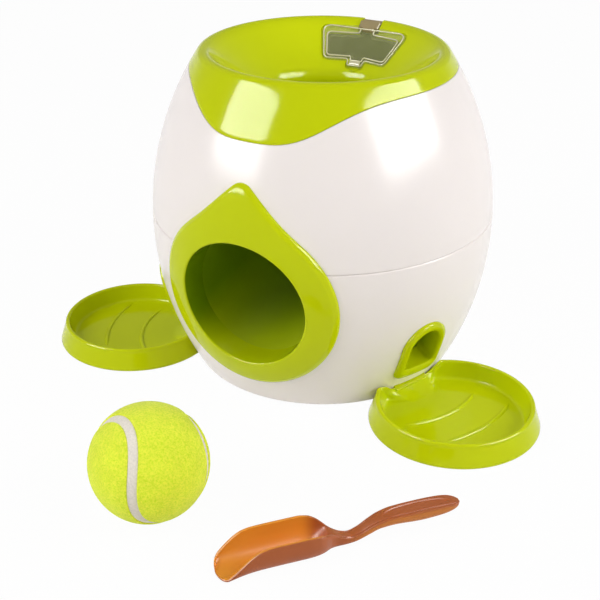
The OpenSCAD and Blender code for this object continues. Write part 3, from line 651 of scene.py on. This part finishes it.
def build_lid_hinge():
    """Barrel round the hinge pin, and the block that joins it to the lid."""
    half, barrel_r, bore_r = NOTCH_HALF - 0.7, 2.9, 1.05
    ring, bore = (arc(HINGE_Y, HINGE_Z, r, 0, 360, 32)[:-1] for r in (barrel_r, bore_r))
    section = ((-half, bore), (-half, ring), (half, ring), (half, bore))
    barrel = Skin().grid([np.insert(loop, 0, x, axis=1) for x, loop in section], shut=True)
    wide = half * LID_MID_R / (WALL_R0 - COS * LID_TOP)
    slim = wide * 0.6
    start, neck, end = 0.3, 5.8, 8.2
    corners = [(wide, start, 0.8), (wide, neck, 0.8), (slim, neck, 0.6), (slim, end, 0.8)]
    outline = rounded(both_sides(corners))
    block = wall_block(outline, [(0, LID_LOW + 0.3), (0, LID_HIGH + 0.2), (0.3, LID_HIGH + 0.6)])
    barrel.add(block.points, block.faces)
    place(barrel.mesh("lid_hinge", 30), "lid", "clear_lid", material=LID_HINGE)


# Ball port: clearance over the shell, rounding and depth of the mouth, crown of the face, collar's wall
SEAT, MOUTH_ROUND, MOUTH_DEEP, FACE_CROWN, COLLAR_WALL = 0.05, 1.3, 6.0, 0.25, 2.2
# Bevel, as (distance in from the edge, height over the shell): flat, with both of its ends slightly rounded
BEVEL = ((2.4, BEZEL_RISE), (2.1, 3.13), (1.8, 2.96), (1.1, 2.48), (0.45, 2.02), (0.12, 1.65), (0.0, 1.2))


def teardrop_r(angles):
    """Outline of the bezel in polar form about the port, angles from straight up."""
    a = short_way(angles)
    reach = TIP_Z - SOFT_TIP_R - PORT_Z
    tangent = math.acos((BEZEL_R - SOFT_TIP_R) / reach)
    tip_end = math.atan2(SOFT_TIP_R * math.sin(tangent), reach + SOFT_TIP_R * math.cos(tangent))
    tip = reach * np.cos(a) + np.sqrt(np.maximum(SOFT_TIP_R ** 2 - (reach * np.sin(a)) ** 2, 0))
    flank = BEZEL_R / np.cos(np.minimum(a, tangent) - tangent)
    hollow = FLANK_HOLLOW * np.sin(np.pi * np.clip((a - tip_end) / (tangent - tip_end), 0, 1)) ** 2
    return np.where(a < tip_end, tip, np.where(a < tangent, flank - hollow, BEZEL_R))


def on_body(across, z, offset):
    """Distance in front of the body's axis of a point that lies offset over the body's side."""
    return np.sqrt(side_r(z, -offset) ** 2 - across ** 2)


def build_bezel():
    """Teardrop frame with a bevelled outer edge, a slightly crowned face and a collar into the body."""
    angles = full_turn(320)
    outer = teardrop_r(angles)
    rows = []

    def ring(radius, offset=None):
        """Row at a radius about the port, offset over the body's side or else at the collar's end."""
        x, z = radius * np.sin(angles), PORT_Z + radius * np.cos(angles)
        y = np.full(len(angles), COLLAR_Y) if offset is None else -on_body(x, z, offset)
        rows.append(np.stack([x, y, z], 1))

    ring(RAMP_R)
    ring(PORT_R, BEZEL_RISE - MOUTH_ROUND - MOUTH_DEEP)
    for k in np.linspace(0, np.pi / 2, 6):
        ring(PORT_R + MOUTH_ROUND * (1 - np.cos(k)), BEZEL_RISE - MOUTH_ROUND * (1 - np.sin(k)))
    face_in, face_out = PORT_R + MOUTH_ROUND, outer - BEVEL[0][0]
    for t in np.linspace(0, 1, 12)[1:-1]:
        ring(face_in + (face_out - face_in) * t, BEZEL_RISE + FACE_CROWN * np.sin(np.pi * t))
    for back, over in BEVEL:
        ring(outer - back, over)
    ring(outer, SEAT)
    ring(PORT_R + COLLAR_WALL, SEAT)
    ring(PORT_R + COLLAR_WALL)
    mesh = Skin().grid(rows, shut=True).mesh("port_frame", 50)
    # Painted shade: the mouth is darker inside, but hardly on its floor
    x, _, z = mesh_points(mesh).T
    hole = np.hypot(x, z - PORT_Z) < PORT_R + 0.01
    set_painted_shading(mesh, hole * (0.1 + 0.9 * step(z - PORT_Z, -40, -14)))
    place(mesh, "dispenser", "lime_gloss", "port_bezel")


# Treat outlets: width of the ring at the sides, sill and head, its rise, and distance of the collar's end
OUTLET_RING, OUTLET_SILL, OUTLET_HEAD, OUTLET_RISE, COLLAR_AT = 5.2, 7.6, 6.2, 3.0, 84.2


def door(half, low, top, foot):
    """Arched door outline with rounded feet, as (across, height)."""
    right = arc(half - foot, low + foot, foot, -90, 0, 8)
    rise = np.linspace((half, low + foot), (half, top - half), 8)[1:-1]
    head = arc(0, top - half, half, 0, 180, 36)
    fall = np.linspace((-half, top - half), (-half, low + foot), 8)[1:-1]
    left = arc(foot - half, low + foot, foot, 180, 270, 8)
    sill = np.linspace((foot - half, low), (half - foot, low), 10)[1:-1]
    return np.concatenate([right, rise, head, fall, left, sill])


def outlet_mesh(name, side):
    """Arched treat mouth: a rounded frame on the shell and a collar into it."""
    hole, head = OUTLET_HALF - OUTLET_RING, OUTLET_TOP - OUTLET_HEAD
    mouth = door(hole, OUTLET_LOW + OUTLET_SILL, head, 3)
    # The floor climbs to the chute behind it
    inner_end = door(hole, CHUTE_LOW, head, 3)
    frame_out = door(OUTLET_HALF, OUTLET_LOW, OUTLET_TOP, 6)
    collar = door(OUTLET_HALF - COLLAR_WALL, OUTLET_LOW + 4, OUTLET_TOP - 3.5, 4)
    rows = []

    def ring(flat, offset=None):
        """Row along an outline, offset over the body's side or else at the collar's end."""
        across, up = flat.T
        out = np.full(len(flat), COLLAR_AT) if offset is None else on_body(across, up, offset)
        rows.append(turned(np.stack([across, -out, up], 1), OUTLET_AZ) * (side, 1, 1))

    ring(inner_end)
    ring(mouth, OUTLET_RISE - 4.5)
    # The ring rises from inside the mouth and comes down close to the shell
    for a in np.linspace(0, np.pi, 9):
        foot = OUTLET_RISE - 2.4 if a < np.pi / 2 else 0.5
        lift = foot + (OUTLET_RISE - foot) * np.sin(a) ** 0.8
        ring(mouth + (frame_out - mouth) * (1 - np.cos(a)) / 2, lift)
    ring(frame_out, SEAT)
    ring(collar, SEAT)
    ring(collar)
    mesh = Skin().grid(rows, shut=True).mesh(name, 45)
    # Painted shade: the mouth is darker deep inside, but not on its floor
    x, y, z = turned(mesh_points(mesh) * (side, 1, 1), -OUTLET_AZ).T
    deep = step(on_body(x, z, 0) + y, 1.5, 4.0)
    set_painted_shading(mesh, deep * step(z, CHUTE_LOW + 1, CHUTE_LOW + 10))
    return mesh


# Trays: gap to the body, heights of the lip, floor and underside, reach and power of the lip's hollow sweep
TRAY_GAP, TRAY_LIP, TRAY_FLOOR, TRAY_UNDER, SWEEP, SWEEP_POWER = 0.5, 8.4, 2.4, 1.0, 15.0, 1.6
# The wall sinks to the lip between these angles from the bite's middle, and only above this height
SINK_ANGLES, SINK_FROM = (15, 33), 5.0
# Rounding of the rim and lip, lean of the inner wall, width and height of its bend into the floor
RIM_ROUND, LIP_EDGE, WALL_LEAN, BEND_WIDE, BEND_HIGH = 1.5, 0.6, 2.0, 2.6, 2.2
# Veins by radius, first and last angle about a point towards the body; their half width and rise
VEINS = ((60.0, -32, 29), (83.5, -17.5, 27))
VEIN_MID, VEIN_HALF, VEIN_RISE, VEIN_STEPS = 63.5, 1.45, 1.0, 40
# Side view of the tongue: it leaves the lip low and reaches its height inside the shell's slot
TONGUE = ((37.0, 6.4), (38.6, 7.8), (46.5, 7.8), (46.5, 9.8), (41.2, 9.8), (38.6, 8.4), (37.0, 7.7))
TONGUE_HALF = 13.0


def tray_dish():
    """Round dish with a bite that follows the body and a low lip there."""
    angles = full_turn(360)
    # The bite is at angle 0, towards the body
    toward = np.stack([np.sin(angles), np.cos(angles)], 1)
    low_share = 1 - step(np.degrees(short_way(angles)), *SINK_ANGLES)
    foot, rim = TRAY_RIM + TRAY_FLARE, TRAY_RIM - 0.6
    # Radius, height and extra gap of the foot's inner edge, where the outside and the underside meet
    sole = foot - 2.6, 0.0, 1.6
    rows = []

    def bite(z, grow):
        """Distance from the tray's middle to the body's side, grown outward, along each angle."""
        b = TRAY_DIST * toward[:, 1]
        under = side_r(z, -grow) ** 2 - TRAY_DIST ** 2 + b ** 2
        near = b - np.sqrt(np.maximum(under, 0))
        return np.where((under > 0) & (b > 0), near, 1e3)

    def ring(radius, z, back=0.0, low_z=None):
        """Row at a radius and height; back adds to the gap to the body, low_z is its height at the lip."""
        height = z - (TRAY_H - TRAY_LIP) * low_share * step(z, SINK_FROM, TRAY_H)
        if low_z is not None:
            height = height + (low_z - height) * low_share
        limit = bite(height, TRAY_GAP + back)
        near, apart, soften = np.minimum(radius, limit), np.abs(radius - limit), 0.9
        soft = np.where(apart < soften, near - (soften - apart) ** 2 / (4 * soften), near)
        rows.append(np.column_stack([soft[:, None] * toward, height]))

    # Foot, outer wall and rim
    ring(*sole)
    ring(foot - 0.6, 0.0)
    ring(foot - 0.15, 0.2)
    wall_low, wall_high = 0.7, TRAY_H - 1.8
    ring(foot, wall_low)
    for t in np.linspace(0.12, 1, 8):
        ring(foot + (rim + RIM_ROUND - foot) * t, wall_low + (wall_high - wall_low) * t)
    for k in np.linspace(0, np.pi, 11):
        ring(rim + RIM_ROUND * np.cos(k), TRAY_H - RIM_ROUND + RIM_ROUND * np.sin(k),
             (1.1 - 0.6 * low_share) * (1 - np.cos(k)), TRAY_LIP - LIP_EDGE + LIP_EDGE * np.sin(k))
    # Inner wall and its bend; at the bite both are one hollow sweep from the lip down to the floor
    wall_top, wall_end = rim - RIM_ROUND, rim - RIM_ROUND - WALL_LEAN
    high, bend = TRAY_H - RIM_ROUND, TRAY_FLOOR + BEND_HIGH
    wall = []
    for t in np.linspace(0.15, 1, 6):
        wall.append((wall_top - WALL_LEAN * t, high + (bend - high) * t, 2.3 + 0.6 * t))
    for k in np.linspace(0, np.pi / 2, 6)[1:]:
        turn = 1 - np.cos(k)
        wall.append((wall_end - BEND_WIDE * turn, bend - BEND_HIGH * np.sin(k), 2.9 + 2.4 * turn))
    for t, (radius, z, back) in zip(np.linspace(0, 1, 12)[1:], wall):
        sweep = 1.0 + (SWEEP - 1.0) * t
        low_z = TRAY_FLOOR + (TRAY_LIP - LIP_EDGE - TRAY_FLOOR) * (1 - t) ** SWEEP_POWER
        ring(radius, z, back + (sweep - back) * low_share, low_z)
    floor_r, floor_back = wall[-1][0], wall[-1][2]
    for t in np.linspace(0, 1, 12)[1:-1]:
        ring(floor_r * (1 - t), TRAY_FLOOR, floor_back + (SWEEP - floor_back) * low_share)
    skin = Skin().grid(rows).fan(rows[-1], (0, 0, TRAY_FLOOR))
    # Underside
    rows.clear()
    ring(*sole)
    ring(TRAY_RIM - 1.9, TRAY_H - 3.4, 1.6)
    ring(TRAY_RIM - 4.4, 1.8, 2.6)
    ring(TRAY_RIM - 6.2, TRAY_UNDER, 4.2)
    ring((TRAY_RIM - 6.2) * 0.5, TRAY_UNDER, floor_back)
    return skin.grid(rows).fan(rows[-1], (0, 0, TRAY_UNDER))


def tray_vein(radius, first, last):
    """Rows of a rounded ridge along an arc on the tray's floor, with tapered ends."""
    a = np.radians(np.linspace(first, last, VEIN_STEPS))
    count = np.arange(VEIN_STEPS)
    taper = np.minimum(step(count, -1, 5), step(count[::-1], -1, 5))
    section = []
    for across in np.linspace(-1, 1, 9):
        rise = VEIN_RISE * taper * np.sqrt(max(0.0, 1 - across ** 2))
        section.append((radius + across * VEIN_HALF * taper, TRAY_FLOOR - 0.1 + rise))
    section.append((radius, np.full(VEIN_STEPS, TRAY_FLOOR - 0.6)))
    return np.array([np.stack([r * np.sin(a), VEIN_MID - r * np.cos(a), z], 1) for r, z in section])


def tray_mesh(name, side):
    """Dish with two veins on its floor and a tongue for the slot in the shell."""
    skin = tray_dish()
    for values in VEINS:
        vein = tray_vein(*values)
        skin.grid(vein, round_rows=False, shut=True).caps(vein[:, 0], vein[:, -1])
    tongue = [[(x, y, z) for y, z in TONGUE] for x in (-TONGUE_HALF, TONGUE_HALF)]
    skin.grid(tongue).caps(*tongue)
    points = turned(np.array(skin.points) + (0, -TRAY_DIST, 0), TRAY_AZ) * (side, 1, 1)
    skin.points = [tuple(p) for p in points]
    return skin.mesh(name, 50)


def build_pairs():
    """Outlets and trays on both sides."""
    for side, word in ((1, "right"), (-1, "left")):
        place(outlet_mesh(word + "_mouth", side), "dispenser", "lime_gloss", word + "_outlet")
        place(tray_mesh(word + "_dish", side), word + "_tray", "lime_gloss", word + "_tray")


# Ball: play beside the seam, rolled edge of the felt, and how far the seam lies under the felt
SEAM_PLAY, FELT_ROLL, FELT_DROP, SEAM_SUNK, SEAM_CROWN = 0.05, 1.1, 0.75, 0.62, 0.15


def seam_point(t):
    """Seam curve on the unit sphere, t in radians."""
    b = 1 - SEAM_A
    c = 2 * math.sqrt(SEAM_A * b)
    x = SEAM_A * np.cos(t) + b * np.cos(3 * t)
    y = SEAM_A * np.sin(t) - b * np.sin(3 * t)
    return np.stack([(x - y) / math.sqrt(2), (x + y) / math.sqrt(2), c * np.sin(2 * t)], -1)


def seam_edge(t, width):
    """Seam curve moved across the ball's surface."""
    here = seam_point(t)
    along = seam_point(t + 0.01) - seam_point(t - 0.01)
    side = np.cross(here, along)
    side /= np.linalg.norm(side, axis=-1)[..., None]
    a = width / BALL_R
    return here * np.cos(a) + side * np.sin(a)


def felt_panel():
    """One dumbbell panel of felt, thick in the middle and rolled down along its edge."""
    n, m = 200, 72
    t = np.radians(-45 + 180 * np.arange(n + 1) / n)
    edge = seam_edge(t, SEAM_W / 2 + SEAM_PLAY)
    lon = np.arctan2(edge[:, 2], edge[:, 0])
    lat = np.arcsin(edge[:, 1])
    share = np.sin(np.linspace(-np.pi / 2, np.pi / 2, m + 1))
    q = lat[:, None] * share[None, :]
    rows = np.stack([np.cos(q) * np.cos(lon)[:, None], np.sin(q), np.cos(q) * np.sin(lon)[:, None]], -1)
    seam = seam_point(full_turn(720))
    far = np.arccos(np.clip((rows.reshape(-1, 3) @ seam.T).max(1), -1, 1)).reshape(rows.shape[:2]) * BALL_R
    inward = np.clip((far - SEAM_W / 2) / FELT_ROLL, 0, 1)
    radius = BALL_R - FELT_DROP * (1 - np.sqrt(1 - (1 - inward) ** 2))
    top = rows * radius[..., None]
    low = rows * (BALL_R - FELT)
    skin = Skin().grid(top, round_rows=False).grid(low, round_rows=False)
    rims = [np.concatenate([face[:, 0], face[-1, 1:], face[::-1, -1][1:], face[0, ::-1][1:-1]])
            for face in (top, low)]
    return skin.grid(rims)


def seam_band():
    """Band between the panels, slightly sunk and rounded."""
    t = full_turn(480)
    half = SEAM_W / 2 - SEAM_PLAY
    rows = [seam_edge(t, -half) * (BALL_R - FELT)]
    for w in np.linspace(-1, 1, 9):
        rows.append(seam_edge(t, half * w) * (BALL_R - SEAM_SUNK - SEAM_CROWN * w * w))
    rows.append(seam_edge(t, half) * (BALL_R - FELT))
    return Skin().grid(rows, shut=True)


def build_ball():
    """Two felt panels and the seam band between them."""
    turn = [Matrix.Rotation(math.radians(a), 4, axis) for a, axis in zip(BALL_TURN, "XYZ")]
    at = Matrix.Translation(BALL_AT) @ turn[2] @ turn[1] @ turn[0]
    flip = Matrix.Rotation(math.pi / 2, 4, "Z") @ Matrix.Rotation(math.pi, 4, "X")
    for name, node, matrix in (("felt_a", "felt_panel_a", at), ("felt_b", "felt_panel_b", at @ flip)):
        place(felt_panel().moved(matrix).mesh(name, 70), "ball", "ball_felt", node)
    place(seam_band().moved(at).mesh("seam", 50), "ball", "seam_rubber", "seam_band")


# Scoop: half width, underside, rim and hollow, each by length along the scoop from near its tip
SCOOP_HALF = ((-1.8, 1.6), (-1.5, 3.8), (-1, 5.6), (-0.2, 7.4), (0.9, 8.8), (2.6, 9.7), (8, 10.3),
              (20, 10.5), (45, 10.5), (51, 9.9), (55, 8.4), (58, 6.2), (60, 4.7), (64, 3.5), (70, 3.3),
              (78, 3.7), (90, 4.8), (105, 5.4), (120, 5.4), (128, 4.9), (132, 3.6), (134, 1.2))
SCOOP_LOW = ((-1.8, 0.4), (4, 0), (48, 0), (55, 0.3), (60, 0.5), (67, 0.5), (73, 1.0), (80, 3.4), (88, 6.6),
             (96, 7.1), (112, 6.0), (124, 6.7), (130, 8.1), (134, 10.2))
SCOOP_RIM = ((-1.8, 1.2), (2, 2.0), (5, 4.2), (10, 8.6), (16, 13.4), (20, 15.4), (25, 16.3), (30, 16.5),
             (45, 16.5), (51, 15.8), (55, 14.2), (58, 12.2), (60, 10.6), (63, 8.6), (67, 6.4), (71, 5.4),
             (76, 6.6), (82, 9.6), (88, 12), (96, 13.4), (112, 13.6), (124, 13.2), (130, 12.4), (134, 11.4))
SCOOP_HOLLOW = ((-1.8, 1.1), (6, 1.6), (44, 1.8), (50, 2.6), (54, 4.6), (57, 8.0), (59, 10.4), (61, 10.0),
                (64, 8.4), (67, 6.7), (71, 5.8), (76, 7.1), (82, 10.2), (88, 12.6), (96, 14.0), (112, 14.2),
                (124, 13.7), (130, 12.8), (134, 11.5))
SCOOP_TIP, SCOOP_END = SCOOP_HALF[0][0], SCOOP_HALF[-1][0]
# Wall, least height, rounding of the rim, and how much sooner one side rises
SCOOP_WALL, SCOOP_LEAST, SCOOP_LIP, SOONER = 1.5, 0.8, 0.35, 4.6
# Oval in the grip: middle, half length, half width and depth
OVAL_AT, OVAL_LONG, OVAL_WIDE, OVAL_DEEP = 109.0, 20.0, 3.7, 0.7


def curve(table, s):
    """Smooth curve through a table's points that never overshoots them."""
    x, y = np.array(table, float).T
    slope = np.diff(y) / np.diff(x)
    tangent = np.zeros(len(x))
    same = slope[:-1] * slope[1:] > 0
    mean = 2 * slope[:-1] * slope[1:] / np.where(same, slope[:-1] + slope[1:], 1)
    tangent[1:-1] = np.where(same, mean, 0)
    tangent[0], tangent[-1] = slope[0], slope[-1]
    i = np.clip(np.searchsorted(x, s) - 1, 0, len(x) - 2)
    h = x[i + 1] - x[i]
    t = (s - x[i]) / h
    return ((1 + 2 * t) * (1 - t) ** 2 * y[i] + t * (1 - t) ** 2 * h * tangent[i]
            + t * t * (3 - 2 * t) * y[i + 1] + t * t * (t - 1) * h * tangent[i + 1])


def scoop_loop(s):
    """Closed cross-section of the scoop at a length from its tip, as (across, height)."""
    tables = SCOOP_HALF, SCOOP_LOW, SCOOP_RIM, SCOOP_HOLLOW
    half, low, rim, hollow = (float(curve(table, s)) for table in tables)
    rim = max(rim, low + SCOOP_LEAST)
    wall = min(SCOOP_WALL, half * 0.35)
    a = np.linspace(-np.pi / 2, np.pi / 2, 41)
    across = np.sign(a) * np.abs(np.sin(a)) ** (2 / 3)
    up = 1 - np.maximum(np.cos(a), 0) ** (2 / 3)
    # Seen from the tip, the left side rises sooner
    ahead = SOONER * (1 - step(s, 18, 32))
    top = np.where(across > 0, max(rim, float(curve(SCOOP_RIM, s + ahead))), rim)
    outer = np.stack([half * across, low + (top - low) * up], 1)
    inner = np.stack([(half - wall) * across, hollow + (top - hollow) * up + 0.01], 1)
    oval = 1 - ((s - OVAL_AT) / OVAL_LONG) ** 2 - (inner[:, 0] / OVAL_WIDE) ** 2
    inner[:, 1] -= OVAL_DEEP * step(oval, 0.0, 0.25)
    # The rim is rounded by one raised point on each side
    first, last = ((outer[i] + inner[i]) / 2 + (0, SCOOP_LIP) for i in (0, -1))
    return np.concatenate([outer, [last], inner[::-1], [first]])


def scoop_painted_light(points):
    """Painted light: paler tone inside the bowl, and a weaker one along the grip's sides."""
    s, across, z = points.T
    half, low, rim = (curve(table, s) for table in (SCOOP_HALF, SCOOP_LOW, SCOOP_RIM))
    share = np.clip(np.abs(across) / half, 0, 1) ** 3
    underside = low + (rim - low) * (1 - (1 - share) ** (1 / 3))
    bowl = (z > underside + 0.6) * (1 - step(s, 47, 56))
    return bowl + 0.38 * step(s, 66, 82) * step(rim - z, 0.5, 1.1)


def build_scoop():
    """Scoop with an open bowl, a bent neck and a grip with a recessed oval."""
    stations = np.concatenate([np.linspace(SCOOP_TIP, 6, 20), np.linspace(6.6, 130, 190),
                               np.linspace(130.3, SCOOP_END, 14)])
    rows = [np.insert(scoop_loop(s), 0, s, axis=1) for s in stations]
    skin = Skin().grid(rows).caps(rows[0], rows[-1])
    spot = (*SCOOP_AT, 0)
    skin.points = [tuple(p) for p in turned(skin.points, SCOOP_TURN) + spot]
    mesh = skin.mesh("treat_scoop", 60)
    # Painted light inside the bowl and along the grip's sides
    set_painted_shading(mesh, scoop_painted_light(turned(mesh_points(mesh) - spot, -SCOOP_TURN)))
    place(mesh, "scoop", "scoop_plastic", "scoop")


# Floor: half width and drop in metres, its paint, and the share of plain white that it shows
FLOOR_REACH, FLOOR_DROP, FLOOR_TONE, FLOOR_GLOW = 6.0, 0.0002, 0.84, 0.965
# Strength of the world, and sine of the heights where the white backdrop starts to fade and where it ends
WORLD_LIGHT, BACKDROP_FADE, BACKDROP_END = 0.42, 0.04, 0.2


def combine(operation, first, second):
    """Two values put together by an operation."""
    tree = first.id_data
    node = tree.nodes.new("ShaderNodeMath")
    node.operation = operation
    tree.links.new(first, node.inputs[0])
    tree.links.new(second, node.inputs[1])
    return node.outputs[0]


def seen_rays(tree, share):
    """Share for rays from the eye, mirrors and glass; 0 for the rest."""
    path = tree.nodes.new("ShaderNodeLightPath")
    total = path.outputs["Is Camera Ray"]
    for name in ("Is Glossy Ray", "Is Transmission Ray"):
        total = combine("MAXIMUM", total, path.outputs[name])
    return span(total, 0.0, share)


def shown(tree, share, plain, white):
    """Shader that is white by a share and plain for the rest."""
    mix = tree.nodes.new("ShaderNodeMixShader")
    for socket, source in zip(mix.inputs, (share, plain.outputs[0], white.outputs[0])):
        tree.links.new(source, socket)
    return mix.outputs[0]


def build_floor():
    """Floor that shows plain white to the eye and keeps a faint shadow."""
    mesh = bpy.data.meshes.new("floor")
    corners = [(x * FLOOR_REACH, y * FLOOR_REACH, 0) for x, y in ((-1, -1), (1, -1), (1, 1), (-1, 1))]
    mesh.from_pydata(corners, [], [(0, 1, 2, 3)])
    floor = add_object("floor", mesh)
    floor.location.z = -FLOOR_DROP
    material = bpy.data.materials.new("floor_white")
    tree = empty_tree(material)
    paint = feed(tree.nodes.new("ShaderNodeBsdfDiffuse"), Color=(FLOOR_TONE, FLOOR_TONE, FLOOR_TONE, 1))
    white = feed(tree.nodes.new("ShaderNodeEmission"), Color=(1, 1, 1, 1))
    surface = shown(tree, seen_rays(tree, FLOOR_GLOW), paint, white)
    feed(tree.nodes.new("ShaderNodeOutputMaterial"), Surface=surface)
    mesh.materials.append(material)


def build_world():
    """Soft fill light, with a white backdrop for the eye that ends a little over the horizon."""
    world = bpy.data.worlds.new("studio")
    bpy.context.scene.world = world
    tree = empty_tree(world)
    fill = tree.nodes.new("ShaderNodeBackground")
    feed(fill, Color=(1.0, 0.985, 0.97, 1), Strength=WORLD_LIGHT)
    white = feed(tree.nodes.new("ShaderNodeBackground"), Color=(1, 1, 1, 1))
    way = tree.nodes.new("ShaderNodeTexCoord").outputs["Generated"]
    height = feed(tree.nodes.new("ShaderNodeSeparateXYZ"), Vector=way).outputs["Z"]
    band = tree.nodes.new("ShaderNodeMapRange")
    feed(band, Value=height, From_Min=BACKDROP_END, From_Max=BACKDROP_FADE)
    share = combine("MULTIPLY", seen_rays(tree, 1.0), band.outputs["Result"])
    feed(tree.nodes.new("ShaderNodeOutputWorld"), Surface=shown(tree, share, fill, white))


# Middle of the object, which the lamps face
AIM = Vector((0, 0, 0.1))
# Softboxes: turn from the front, height in degrees, distance, width, height, radiance
SOFTBOXES = {
    "left_softbox": (-33, 28, 1.25, 0.6, 0.85, 4.45),
    "right_softbox": (91, 28, 1.25, 1.0, 0.75, 3.55),
}
# Bright middles of the softboxes, which light no matt surface
GLINTS = {
    "left_glint": (-35.5, 27.5, 1.2, 0.74, 0.7, 29.0),
    "right_glint": (91, 29, 1.2, 1.0, 0.66, 26.0),
}


def add_softbox(name, turn, height, far, wide, tall, radiance):
    """Rectangular lamp that faces the object; radiance is its brightness."""
    data = bpy.data.lights.new(name, "AREA")
    data.shape = "RECTANGLE"
    data.size, data.size_y = wide, tall
    data.energy = radiance * math.pi * wide * tall
    light = add_object(name, data)
    a, e = math.radians(turn), math.radians(height)
    way = Vector((math.sin(a) * math.cos(e), -math.cos(a) * math.cos(e), math.sin(e)))
    light.location = AIM + way * far
    light.rotation_mode = "QUATERNION"
    light.rotation_quaternion = way.to_track_quat("Z", "Y")
    return light


def build_lights():
    """Softboxes light the object, and their bright middles show in its gloss."""
    for name, values in SOFTBOXES.items():
        add_softbox(name, *values).visible_glossy = False
    for name, values in GLINTS.items():
        add_softbox(name, *values).visible_diffuse = False


# Camera, as fitted to the photograph: place in metres, directions and lens
CAMERA_AT = Vector((0.30967, -0.62382, 0.3987))
CAMERA_RIGHT = Vector((0.88628, 0.46314, 0.0))
CAMERA_UP = Vector((-0.21672, 0.41472, 0.88377))
CAMERA_LENS = 70.0


def build_camera():
    """Camera at the photograph's place and angle."""
    data = bpy.data.cameras.new("camera")
    data.lens = CAMERA_LENS
    data.sensor_width = 36.0
    data.clip_start, data.clip_end = 0.02, 50
    camera = add_object("camera", data)
    back = CAMERA_RIGHT.cross(CAMERA_UP)
    turn = Matrix((CAMERA_RIGHT, CAMERA_UP, back)).transposed().to_4x4()
    camera.matrix_world = Matrix.Translation(CAMERA_AT) @ turn
    bpy.context.scene.camera = camera


finish_cad_nodes()
build_bowl()
build_finger_ledge()
build_lid()
build_lid_lines()
build_lid_hinge()
build_bezel()
build_pairs()
build_ball()
build_scoop()
build_floor()
build_world()
build_lights()
build_camera()
bpy.context.scene.view_settings.view_transform = "Standard"
